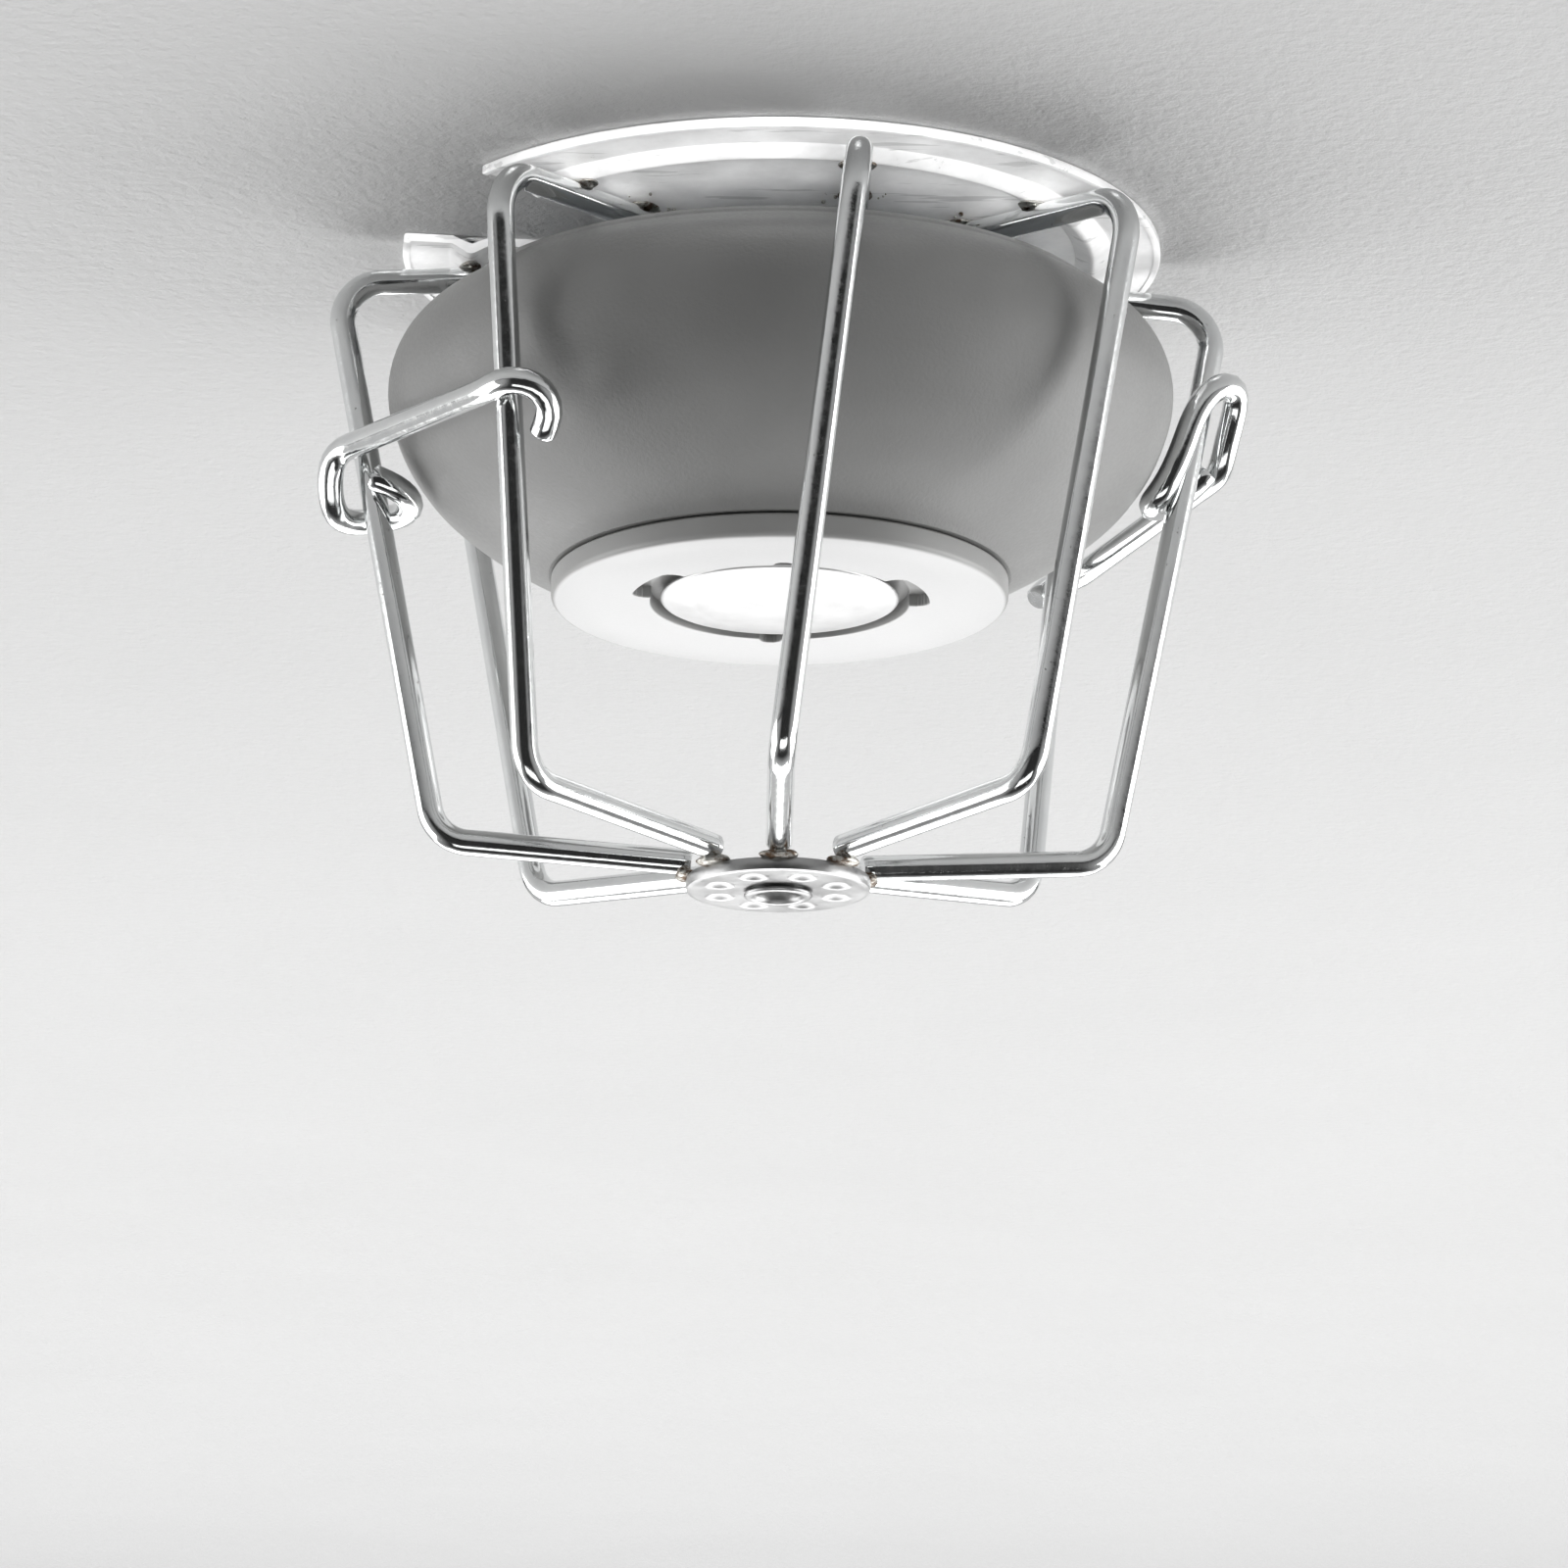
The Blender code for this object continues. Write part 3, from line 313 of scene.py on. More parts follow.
def moulded(name, light, dark, low, high, texture_mm, deep_mm, ior=1.54, face=None):
    """Moulded plastic: a spark-eroded skin of the given grain, slow tone changes where it flowed, and dust in
    the low spots. Its roughness goes from low to high. A face is a paler colour painted on the flat underside:
    painted light, standing in for the light from below that falls on it."""
    made, tree, shader = new_finish(name, low, ior=ior)
    place = object_place(tree)
    flow = add(tree, "ShaderNodeTexNoise", None, pattern(24.0, 2.0), {"Vector": place}).outputs["Fac"]
    skin = add(tree, "ShaderNodeTexNoise", None, pattern(texture_mm, 3.0, 0.6), {"Vector": place}).outputs["Fac"]
    spots = add(tree, "ShaderNodeTexNoise", None, pattern(3.2, 6.0, 0.7), {"Vector": place}).outputs["Fac"]
    dust = add(tree, "ShaderNodeMapRange", SMOOTH, span(0.56, 0.72, 0.0, 0.5), {"Value": spots}).outputs[0]
    thin = add(tree, "ShaderNodeMath", TIMES, {1: 0.5}, {0: dust}).outputs[0]
    spread = add(tree, "ShaderNodeMapRange", None, span(0.3, 0.7), {"Value": flow}).outputs[0]
    tones = {6: linear(light), 7: linear(dark)}
    tone = add(tree, "ShaderNodeMix", COLOURS, tones, {0: spread}).outputs[2]
    tone = add(tree, "ShaderNodeMix", COLOURS, {7: linear(dark)}, {0: thin, 6: tone}).outputs[2]
    # Painted light: the flat underside takes the paler face colour, standing in for the light from below that
    # falls on it.
    if face:
        height = add(tree, "ShaderNodeSeparateXYZ", links={"Vector": place}).outputs[2]
        edge = span((FACE_Z + 0.02) * MM, (FACE_Z + 0.3) * MM, 1.0, 0.0)
        under = add(tree, "ShaderNodeMapRange", SMOOTH, edge, {"Value": height}).outputs[0]
        tone = add(tree, "ShaderNodeMix", COLOURS, {7: linear(face)}, {0: under, 6: tone}).outputs[2]
    rough = add(tree, "ShaderNodeMapRange", None, span(0.25, 0.75, low, high), {"Value": skin}).outputs[0]
    feed(tree, shader, base_color=tone, roughness=rough)
    raised(tree, shader, (flow, 0.05), (skin, deep_mm))
    return made


def turned(name, light, dark, low, high, ring_mm=0.4, deep_mm=0.006):
    """Metal turned or spun about the Z axis: fine rings and a slow change of tone. Its roughness goes from low
    to high."""
    made, tree, shader = new_finish(name, low, 1.0)
    place = object_place(tree)
    parts = add(tree, "ShaderNodeSeparateXYZ", links={"Vector": place}).outputs
    flat = add(tree, "ShaderNodeCombineXYZ", links={"X": parts[0], "Y": parts[1]}).outputs[0]
    radius = add(tree, "ShaderNodeVectorMath", {"operation": "LENGTH"}, links={0: flat}).outputs["Value"]
    at_ring = add(tree, "ShaderNodeCombineXYZ", links={"X": radius, "Y": parts[2]}).outputs[0]
    # Tool rings are drawn coarser than a lathe leaves them, so that they show.
    rings = add(tree, "ShaderNodeTexNoise", None, pattern(ring_mm, 3.0, 0.7), {"Vector": at_ring}).outputs["Fac"]
    cloud = add(tree, "ShaderNodeTexNoise", None, pattern(6.0), {"Vector": place}).outputs["Fac"]
    spread = add(tree, "ShaderNodeMapRange", None, span(0.3, 0.7), {"Value": cloud}).outputs[0]
    tones = {6: linear(light), 7: linear(dark)}
    tone = add(tree, "ShaderNodeMix", COLOURS, tones, {0: spread}).outputs[2]
    rough = add(tree, "ShaderNodeMapRange", None, span(0.25, 0.75, low, high), {"Value": rings}).outputs[0]
    feed(tree, shader, base_color=tone, roughness=rough)
    raised(tree, shader, (rings, deep_mm), (cloud, 0.02))
    return made


def soft_alloy():
    """Cast fusible alloy: dull grey, with a grainy skin."""
    made, tree, shader = new_finish("cast_fusible_alloy", 0.5, 1.0)
    place = object_place(tree)
    skin = add(tree, "ShaderNodeTexNoise", None, pattern(0.6, 4.0, 0.7), {"Vector": place}).outputs["Fac"]
    tones = {6: linear("#8c8e92"), 7: linear("#a9abad")}
    tone = add(tree, "ShaderNodeMix", COLOURS, tones, {0: skin}).outputs[2]
    rough = add(tree, "ShaderNodeMapRange", None, span(0.3, 0.7, 0.4, 0.6), {"Value": skin}).outputs[0]
    feed(tree, shader, base_color=tone, roughness=rough)
    raised(tree, shader, (skin, 0.05))
    return made


def plaster():
    """Painted plaster ceiling: roller stipple about 2 mm across. It is clear from above, and to the light."""
    made, tree, shader = new_finish("painted_plaster", 0.75)
    place = object_place(tree)
    stipple = add(tree, "ShaderNodeTexNoise", None, pattern(2.4, 4.0, 0.65), {"Vector": place}).outputs["Fac"]
    patch = add(tree, "ShaderNodeTexNoise", None, pattern(90.0), {"Vector": place}).outputs["Fac"]
    spread = add(tree, "ShaderNodeMapRange", None, span(0.3, 0.7), {"Value": patch}).outputs[0]
    tones = {6: linear("#b5b5b5"), 7: linear("#b3b3b3")}
    feed(tree, shader, base_color=add(tree, "ShaderNodeMix", COLOURS, tones, {0: spread}).outputs[2])
    raised(tree, shader, (patch, 0.25), (stipple, 0.5))
    clear = add(tree, "ShaderNodeBsdfTransparent").outputs[0]
    back = add(tree, "ShaderNodeNewGeometry").outputs["Backfacing"]
    shadow = add(tree, "ShaderNodeLightPath").outputs["Is Shadow Ray"]
    either = add(tree, "ShaderNodeMath", {"operation": "MAXIMUM"}, None, {0: back, 1: shadow}).outputs[0]
    joined = add(tree, "ShaderNodeMixShader", links={0: either, 1: shader.outputs[0], 2: clear}).outputs[0]
    tree.links.new(joined, tree.nodes["Material Output"].inputs["Surface"])
    return made


# ---- shapes ----


def heading(degrees):
    """Unit direction in plan, in degrees from the near side towards the right."""
    turn = math.radians(degrees)
    return Vector((math.sin(turn), -math.cos(turn), 0.0))


def at(radius, degrees, height):
    return heading(degrees) * radius + Vector((0.0, 0.0, height))


def linked(name, data):
    """A new object of the scene that holds the data."""
    made = bpy.data.objects.new(name, data)
    bpy.context.scene.collection.objects.link(made)
    return made


def smoothed(mesh, sharp_deg):
    mesh.shade_smooth()
    mesh.set_sharp_from_angle(angle=math.radians(sharp_deg))


def to_object(name, shape, surface):
    """The built shape as a closed, smooth-shaded object with its faces outwards."""
    bmesh.ops.remove_doubles(shape, verts=shape.verts, dist=1e-7)
    bmesh.ops.recalc_face_normals(shape, faces=shape.faces)
    mesh = bpy.data.meshes.new(name)
    shape.to_mesh(mesh)
    shape.free()
    smoothed(mesh, SHARP_DEG)
    mesh.materials.append(surface)
    return linked(name, mesh)


def revolve(name, profile, surface, steps, centre=(0.0, 0.0), arc=None, lift=None):
    """Solid of revolution from a closed profile. An arc is (from, to) in headings. What lift gives for a
    radius, height and heading is the point's own height."""
    shape = bmesh.new()
    start, stop = arc if arc else (0.0, 360.0)
    count = steps + 1 if arc else steps
    rings = []
    for step in range(count):
        turn = start + (stop - start) * step / steps
        ring = []
        for radius, height in profile:
            if lift:
                height = lift(radius, height, turn)
            point = at(radius, turn, height) + Vector((centre[0], centre[1], 0.0))
            ring.append(shape.verts.new(point * MM))
        rings.append(ring)
    for i in range(len(profile)):
        j = (i + 1) % len(profile)
        for step in range(steps):
            here, there = rings[step], rings[(step + 1) % count]
            shape.faces.new((here[i], here[j], there[j], there[i]))
    if arc:
        shape.faces.new(rings[0])
        shape.faces.new(rings[-1])
    return to_object(name, shape, surface)


def smooth_path(knots, per_span):
    """Catmull-Rom points through the knots."""
    points = []
    ends = [knots[0] * 2 - knots[1], *knots, knots[-1] * 2 - knots[-2]]
    for i in range(len(knots) - 1):
        a, b, c, d = ends[i : i + 4]
        squared, cubed = 2 * a - 5 * b + 4 * c - d, 3 * b - a - 3 * c + d
        for step in range(per_span):
            t = step / per_span
            points.append(0.5 * (2 * b + (c - a) * t + squared * t * t + cubed * t**3))
    points.append(knots[-1])
    return points


def rounded_profile(points, per_span):
    """A profile's (radius, height) pairs joined by a smooth path."""
    path = smooth_path([Vector((radius, height, 0.0)) for radius, height in points], per_span)
    return [(p.x, p.y) for p in path]


def eased_path(knots, spacing=1.2, passes=4):
    """Even points along the smooth path, with its tight corners relaxed as a bender leaves them."""
    dense = smooth_path(knots, 12)
    points = [dense[0]]
    for point in dense:
        if (point - points[-1]).length >= spacing:
            points.append(point)
    points[-1] = dense[-1]
    for _ in range(passes):
        middle = [(a + b * 2 + c) * 0.25 for a, b, c in zip(points, points[1:], points[2:])]
        points = [points[0], *middle, points[-1]]
    return points


def rounded_path(corners, bend, steps=16):
    """Points along straight runs whose corners are arcs of the bend radius."""
    points = [corners[0]]
    for before, corner, after in zip(corners, corners[1:], corners[2:]):
        back = (before - corner).normalized()
        ahead = (after - corner).normalized()
        half = back.angle(ahead) * 0.5
        centre = corner + (back + ahead).normalized() * (bend / math.sin(half))
        start = corner + back * (bend / math.tan(half))
        stop = corner + ahead * (bend / math.tan(half))
        for step in range(steps + 1):
            direction = (start - centre).slerp(stop - centre, step / steps)
            points.append(centre + direction.normalized() * bend)
    points.append(corners[-1])
    return points


def even_run(points, spacing=1.5):
    """The same path with points no further apart than the spacing."""
    run = [points[0]]
    for a, b in zip(points, points[1:]):
        pieces = max(1, math.ceil((b - a).length / spacing))
        run += [a.lerp(b, k / pieces) for k in range(1, pieces + 1)]
    return run


def cage_corners(name):
    """Foot on the plate, top and bottom bends, and the inner end on the hub."""
    foot, top, bottom = WIRES[name]
    spoke_z = HUB_Z + HUB_T + GAP + WIRE_R
    return [
        at(FOOT_R, foot, FOOT_Z), at(TOP_R, top, TOP_Z), at(BOTTOM_R, bottom, BOTTOM_Z),
        at(SPOKE_R, bottom, spoke_z),
    ]


def on_line(line, height):
    """The point of a leaning wire at a height."""
    top, bottom = line
    return top + (bottom - top) * ((height - top.z) / (bottom.z - top.z))


def around(line, degrees, height, radius):
    """Point beside a leaning wire, by its heading round it and the height of the wire next to it."""
    top, bottom = line
    up = (top - bottom).normalized()
    side = heading(degrees)
    side = (side - up * side.dot(up)).normalized()
    return on_line(line, height) + side * radius


def link_path(pivot, hooked, eye, crossing_z, hook):
    """An eye round the pivot wire, a straight bar and an open hook past the other wire."""
    line = cage_corners(pivot)[1:3]
    knots = [around(line, degrees, height, radius) for degrees, height, radius in eye]
    meeting = on_line(cage_corners(hooked)[1:3], crossing_z)
    outward = Vector((meeting.x, meeting.y, 0.0)).normalized()
    crossing = meeting + outward * (2 * WIRE_R + 2 * GAP)
    bar = (crossing - knots[-1]).normalized()
    side = Vector((bar.x, bar.y, 0.0)).normalized()
    lift = Vector((0.0, 0.0, 1.0))
    turns = [crossing + side * along - outward * inward + lift * up for along, inward, up in hook]
    eye_run = eased_path([*knots, *[knots[-1] + bar * past for past in BAR_STARTS]])
    return eye_run + eased_path([*[crossing - bar * before for before in BAR_ENDS], crossing, *turns])


def cut_ends(points):
    """Adds a point just inside each end, so that the cut end can narrow."""
    first = points[0] + (points[1] - points[0]).normalized() * CUT_CHAMFER
    last = points[-1] + (points[-2] - points[-1]).normalized() * CUT_CHAMFER
    return [points[0], first, *points[1:-1], last, points[-1]]


# ---- Geometry Nodes ----


def socket_of(tree, name):
    """The identifier of a tree's input."""
    return next(s.identifier for s in tree.interface.items_tree if s.name == name and s.in_out == "INPUT")


def new_tree(name, inputs):
    """An empty Geometry Nodes tree with named inputs, with its input and output nodes."""
    tree = bpy.data.node_groups.new(name, "GeometryNodeTree")
    tree.interface.new_socket("Geometry", in_out="INPUT", socket_type="NodeSocketGeometry")
    for label, kind in inputs:
        tree.interface.new_socket(label, in_out="INPUT", socket_type=kind)
    tree.interface.new_socket("Geometry", in_out="OUTPUT", socket_type="NodeSocketGeometry")
    return tree, add(tree, "NodeGroupInput"), add(tree, "NodeGroupOutput")


def wire_tree():
    """Sweeps a round section along each path, and keeps how far along each point lies and its place in the
    section."""
    tree, given, result = new_tree(
        "drawn_wire",
        [("Radius", "NodeSocketFloat"), ("Sides", "NodeSocketInt"), ("Finish", "NodeSocketMaterial")],
    )
    section = add(
        tree, "GeometryNodeCurvePrimitiveCircle",
        links={"Resolution": given.outputs["Sides"], "Radius": given.outputs["Radius"]},
    )
    marked = add(
        tree, "GeometryNodeStoreNamedAttribute", {"data_type": "FLOAT_VECTOR"}, {"Name": "section"},
        {"Geometry": section.outputs["Curve"], "Value": add(tree, "GeometryNodeInputPosition").outputs[0]},
    )
    length = add(tree, "GeometryNodeSplineParameter").outputs["Length"]
    path = add(
        tree, "GeometryNodeStoreNamedAttribute", {"data_type": "FLOAT"}, {"Name": "run"},
        {"Geometry": given.outputs["Geometry"], "Value": length},
    )
    narrowing = add(tree, "GeometryNodeInputRadius").outputs[0]
    swept = add(
        tree, "GeometryNodeCurveToMesh", values={"Fill Caps": True},
        links={"Curve": path.outputs[0], "Profile Curve": marked.outputs[0], "Scale": narrowing},
    )
    real = add(tree, "GeometryNodeRealizeInstances", links={"Geometry": swept.outputs["Mesh"]})
    coated = add(
        tree, "GeometryNodeSetMaterial",
        links={"Geometry": real.outputs[0], "Material": given.outputs["Finish"]},
    )
    tree.links.new(coated.outputs[0], result.inputs[0])
    return tree


def weld_tree():
    """A lumpy bead on each point, sized and turned by the point, and fine spatter on a disc round some."""
    tree, given, result = new_tree(
        "weld_beads",
        [
            ("Lump", "NodeSocketFloat"), ("Spatter per m2", "NodeSocketFloat"),
            ("Spatter size", "NodeSocketFloat"), ("Seed", "NodeSocketInt"), ("Finish", "NodeSocketMaterial"),
        ],
    )
    size = add(tree, "GeometryNodeInputNamedAttribute", {"data_type": "FLOAT_VECTOR"}, {"Name": "half_size"})
    turn = add(tree, "GeometryNodeInputNamedAttribute", {"data_type": "FLOAT"}, {"Name": "turn"})
    flag = add(tree, "GeometryNodeInputNamedAttribute", {"data_type": "BOOLEAN"}, {"Name": "spatter"})
    rotation = add(tree, "ShaderNodeCombineXYZ", links={"Z": turn.outputs["Attribute"]})
    ball = add(tree, "GeometryNodeMeshIcoSphere", values={"Radius": 1.0, "Subdivisions": 4})
    beads = add(
        tree, "GeometryNodeInstanceOnPoints",
        links={
            "Points": given.outputs["Geometry"], "Instance": ball.outputs["Mesh"],
            "Rotation": rotation.outputs[0], "Scale": size.outputs["Attribute"],
        },
    )
    real = add(tree, "GeometryNodeRealizeInstances", links={"Geometry": beads.outputs[0]})
    bumps = add(tree, "ShaderNodeTexNoise", values={"Scale": LUMPS_PER_M, "Detail": 3.0})
    offset = add(tree, "ShaderNodeMath", {"operation": "SUBTRACT"}, {1: 0.55}, {0: bumps.outputs["Fac"]})
    amount = add(
        tree, "ShaderNodeMath", {"operation": "MULTIPLY"},
        links={0: offset.outputs[0], 1: given.outputs["Lump"]},
    )
    push = add(
        tree, "ShaderNodeVectorMath", {"operation": "SCALE"},
        links={0: add(tree, "GeometryNodeInputNormal").outputs[0], "Scale": amount.outputs[0]},
    )
    lumpy = add(
        tree, "GeometryNodeSetPosition", links={"Geometry": real.outputs[0], "Offset": push.outputs[0]}
    )
    disc = add(
        tree, "GeometryNodeMeshCircle", {"fill_type": "NGON"}, {"Vertices": 24, "Radius": SPATTER_SPREAD},
    )
    discs = add(
        tree, "GeometryNodeInstanceOnPoints",
        links={
            "Points": given.outputs["Geometry"], "Selection": flag.outputs["Attribute"],
            "Instance": disc.outputs["Mesh"], "Rotation": rotation.outputs[0],
            "Scale": size.outputs["Attribute"],
        },
    )
    plane = add(tree, "GeometryNodeRealizeInstances", links={"Geometry": discs.outputs[0]})
    spots = add(
        tree, "GeometryNodeDistributePointsOnFaces",
        links={
            "Mesh": plane.outputs[0], "Density": given.outputs["Spatter per m2"], "Seed": given.outputs["Seed"],
        },
    )
    spread = add(
        tree, "FunctionNodeRandomValue", {"data_type": "FLOAT"}, {"Min": 0.25, "Max": 1.0},
        {"Seed": given.outputs["Seed"]},
    )
    drop_size = add(
        tree, "ShaderNodeMath", {"operation": "MULTIPLY"},
        links={0: spread.outputs[1], 1: given.outputs["Spatter size"]},
    )
    drop = add(tree, "GeometryNodeMeshIcoSphere", values={"Radius": 1.0, "Subdivisions": 2})
    drops = add(
        tree, "GeometryNodeInstanceOnPoints",
        links={
            "Points": spots.outputs["Points"], "Instance": drop.outputs["Mesh"], "Scale": drop_size.outputs[0],
        },
    )
    both = add(tree, "GeometryNodeJoinGeometry")
    tree.links.new(lumpy.outputs[0], both.inputs[0])
    tree.links.new(drops.outputs[0], both.inputs[0])
    solid = add(tree, "GeometryNodeRealizeInstances", links={"Geometry": both.outputs[0]})
    coated = add(
        tree, "GeometryNodeSetMaterial",
        links={"Geometry": solid.outputs[0], "Material": given.outputs["Finish"]},
    )
    tree.links.new(coated.outputs[0], result.inputs[0])
    return tree


def settle(obj, tree, values, sharp_deg):
    """Runs the tree on the object and leaves its result as a plain mesh."""
    modifier = obj.modifiers.new(tree.name, "NODES")
    modifier.node_group = tree
    for name, value in values.items():
        modifier[socket_of(tree, name)] = value
    bpy.context.view_layer.update()
    graph = bpy.context.evaluated_depsgraph_get()
    mesh = bpy.data.meshes.new_from_object(obj.evaluated_get(graph))
    name = obj.name
    bpy.data.objects.remove(obj, do_unlink=True)
    shape = bmesh.new()
    shape.from_mesh(mesh)
    bmesh.ops.recalc_face_normals(shape, faces=shape.faces)
    shape.to_mesh(mesh)
    shape.free()
    smoothed(mesh, sharp_deg)
    return linked(name, mesh)


def wires(name, paths, tree, finish):
    """One mesh of round wires along the paths, each with a narrowed cut end."""
    curve = bpy.data.curves.new(name, "CURVE")
    curve.dimensions = "3D"
    curve.twist_mode = "MINIMUM"
    for path in paths:
        points = cut_ends(path)
        spline = curve.splines.new("POLY")
        spline.points.add(len(points) - 1)
        for slot, point in zip(spline.points, points):
            slot.co = (*(point * MM), 1.0)
        spline.points[0].radius = spline.points[-1].radius = CUT_END_SCALE
    sizes = {"Radius": WIRE_R * MM, "Sides": WIRE_SIDES, "Finish": finish}
    return settle(linked(name, curve), tree, sizes, WIRE_SHARP_DEG)


# ---- pieces ----


def wear_near(obj, spots, reach):
    """Stores how near each point of the mesh is to a weld, from 0 to 1, for the scorched look."""
    values = []
    for vert in obj.data.vertices:
        nearest = min((vert.co - spot).length for spot in spots)
        values.append(max(0.0, 1.0 - nearest / (reach * MM)))
    heat = obj.data.attributes.new("heat", "FLOAT", "POINT")
    heat.data.foreach_set("value", values)


def weld_spots():
    """Each weld as (place, half sizes, turn, whether it spatters). A wire has one at its foot, one where it
    crosses the rib and one where it lands on the hub."""
    spots = []
    for name in WIRES:
        corners = cage_corners(name)
        out = (corners[1] - corners[0]).normalized()
        turn = math.atan2(out.y, out.x)
        foot = corners[0] + out * FOOT_WELD_ALONG
        spots.append((Vector((foot.x, foot.y, FOOT_WELD_Z)), FOOT_WELD, turn, True))
        share = (RIB_R - FOOT_R) / (TOP_R - FOOT_R)
        crossing = corners[0].lerp(corners[1], share)
        spots.append((Vector((crossing.x, crossing.y, RIB_WELD_Z)), RIB_WELD, turn, False))
        end = corners[3] + (corners[2] - corners[3]).normalized() * HUB_WELD_ALONG
        spots.append((Vector((end.x, end.y, HUB_Z + HUB_T + HUB_WELD_LIFT)), HUB_WELD, turn, False))
    return spots


def welds(finish):
    spots = weld_spots()
    mesh = bpy.data.meshes.new("welds")
    mesh.from_pydata([spot[0] * MM for spot in spots], [], [])
    size = mesh.attributes.new("half_size", "FLOAT_VECTOR", "POINT")
    size.data.foreach_set("vector", [v * MM for spot in spots for v in spot[1]])
    turn = mesh.attributes.new("turn", "FLOAT", "POINT")
    turn.data.foreach_set("value", [spot[2] for spot in spots])
    flag = mesh.attributes.new("spatter", "BOOLEAN", "POINT")
    flag.data.foreach_set("value", [spot[3] for spot in spots])
    values = {
        "Lump": WELD_LUMP * MM, "Spatter per m2": SPATTER_PER_M2, "Spatter size": SPATTER_R * MM,
        "Seed": SPATTER_SEED, "Finish": finish,
    }
    return settle(linked("weld_beads", mesh), weld_tree(), values, WELD_SHARP_DEG)


def plate_profile():
    """Section of a base plate: flat sheet, one pressed rib and a turned-down lip, with its bends rounded."""
    low = -PLATE_T
    top = [
        (PLATE_INNER_R, 0.0), (30.0, 0.0), (RIB_R - RIB_HALF - 0.4, 0.0), (RIB_R - RIB_HALF, -0.04),
        (RIB_R - 1.0, -RIB_DEEP * 0.55), (RIB_R, -RIB_DEEP * 0.8), (RIB_R + 1.0, -RIB_DEEP * 0.55),
        (RIB_R + RIB_HALF, -0.04), (RIB_R + RIB_HALF + 0.4, 0.0), (PLATE_R - 1.0, 0.0), (PLATE_R - 0.3, -0.06),
        (PLATE_R - 0.05, -0.3),
    ]
    under = [
        (PLATE_R, low - 0.1), (PLATE_R - 0.1, low - 0.25), (PLATE_R - 0.95, low - 0.25), (PLATE_R - 1.3, low),
        (RIB_R + RIB_HALF + 0.7, low), (RIB_R + RIB_HALF, low - 0.12), (RIB_R + 1.0, low - RIB_DEEP * 0.72),
        (RIB_R, low - RIB_DEEP), (RIB_R - 1.0, low - RIB_DEEP * 0.72), (RIB_R - RIB_HALF, low - 0.12),
        (RIB_R - RIB_HALF - 0.7, low), (34.0, low), (30.0, low), (26.0, low), (PLATE_INNER_R, low),
    ]
    return [*rounded_profile(top, 3), *rounded_profile(under, 3)]


def plates(finish, spots):
    made = []
    for name, arc in PLATE_ARCS.items():
        title = name.replace("guard_plate", "pressed_plate")
        piece = revolve(title, plate_profile(), finish, PLATE_STEPS, arc=arc)
        made.append(piece)
        wear_near(piece, spots, PLATE_SCORCH)
        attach(piece, "guard_and_mount")
        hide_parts(name)
    return made


def hub(finish):
    """Hub disc with its ring of punched dimples, and the eyelet riveted through it."""
    top, flat_r, corner_r = HUB_Z + HUB_T, HUB_R - HUB_EDGE, HUB_R - HUB_CORNER
    outer = [
        (HUB_HOLE_R, top), (DIMPLE_RING_R, top), (flat_r, top), (corner_r, top - HUB_CORNER),
        (HUB_R, top - HUB_EDGE), (HUB_R, HUB_Z + HUB_EDGE), (corner_r, HUB_Z + HUB_CORNER), (flat_r, HUB_Z),
    ]
    rings = [flat_r - k * (flat_r - HUB_HOLE_R) / HUB_RINGS for k in range(1, HUB_RINGS + 1)]
    profile = [*outer, *[(radius, HUB_Z) for radius in rings]]
    centres = [at(DIMPLE_RING_R, DIMPLE_START + 360 / HUB_DIMPLES * k, 0.0) for k in range(HUB_DIMPLES)]
    mouth_r = DIMPLE_R + DIMPLE_LIP

    def dimple(radius, height, turn):
        if height > HUB_Z + 0.01:
            return height
        place = at(radius, turn, 0.0)
        nearest = min((place - centre).length for centre in centres)
        if nearest >= mouth_r:
            return height
        share = max(0.0, 1.0 - (nearest / mouth_r) ** 2)
        return height + DIMPLE_DEEP * share

    disc = revolve("punched_hub_disc", profile, finish, HUB_STEPS, lift=dimple)
    outer_r = HUB_HOLE_R - GAP
    rim = rounded_profile(
        [
            (outer_r, HUB_Z - GAP + 0.05), (outer_r + 0.7, HUB_Z - GAP), (outer_r + 0.9, HUB_Z - 0.6),
            (outer_r + 0.5, HUB_Z - 0.94), (outer_r - 0.3, HUB_Z - 0.9), (outer_r - EYELET_WALL, HUB_Z - 0.3),
        ],
        5,
    )
    tube = [(outer_r, top + EYELET_TOP), *rim, (outer_r - EYELET_WALL, top + EYELET_TOP)]
    eyelet = revolve("rolled_eyelet", tube, finish, EYELET_STEPS)
    for piece, node in ((disc, "hub_disc"), (eyelet, "hub_eyelet")):
        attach(piece, "guard_and_mount")
        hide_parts(node)


def inner_side(profile, wall):
    """The profile moved inwards by the wall."""
    moved = []
    for i, (radius, height) in enumerate(profile):
        before = profile[max(i - 1, 0)]
        after = profile[min(i + 1, len(profile) - 1)]
        run = math.hypot(after[0] - before[0], after[1] - before[1])
        moved.append((
            radius + (after[1] - before[1]) / run * wall,
            height - (after[0] - before[0]) / run * wall,
        ))
    return moved


def join(target, tool):
    """Joins the tool on to the target as one solid, and removes the tool."""
    modifier = target.modifiers.new(tool.name, "BOOLEAN")
    modifier.operation = "UNION"
    modifier.solver = "EXACT"
    modifier.object = tool
    graph = bpy.context.evaluated_depsgraph_get()
    mesh = bpy.data.meshes.new_from_object(target.evaluated_get(graph))
    target.modifiers.clear()
    target.data = mesh
    bpy.data.objects.remove(tool, do_unlink=True)


def block(inner_r, outer_r, top_z, low_z):
    """A square section between two radii and two heights."""
    return [(inner_r, top_z), (outer_r, top_z), (outer_r, low_z), (inner_r, low_z)]


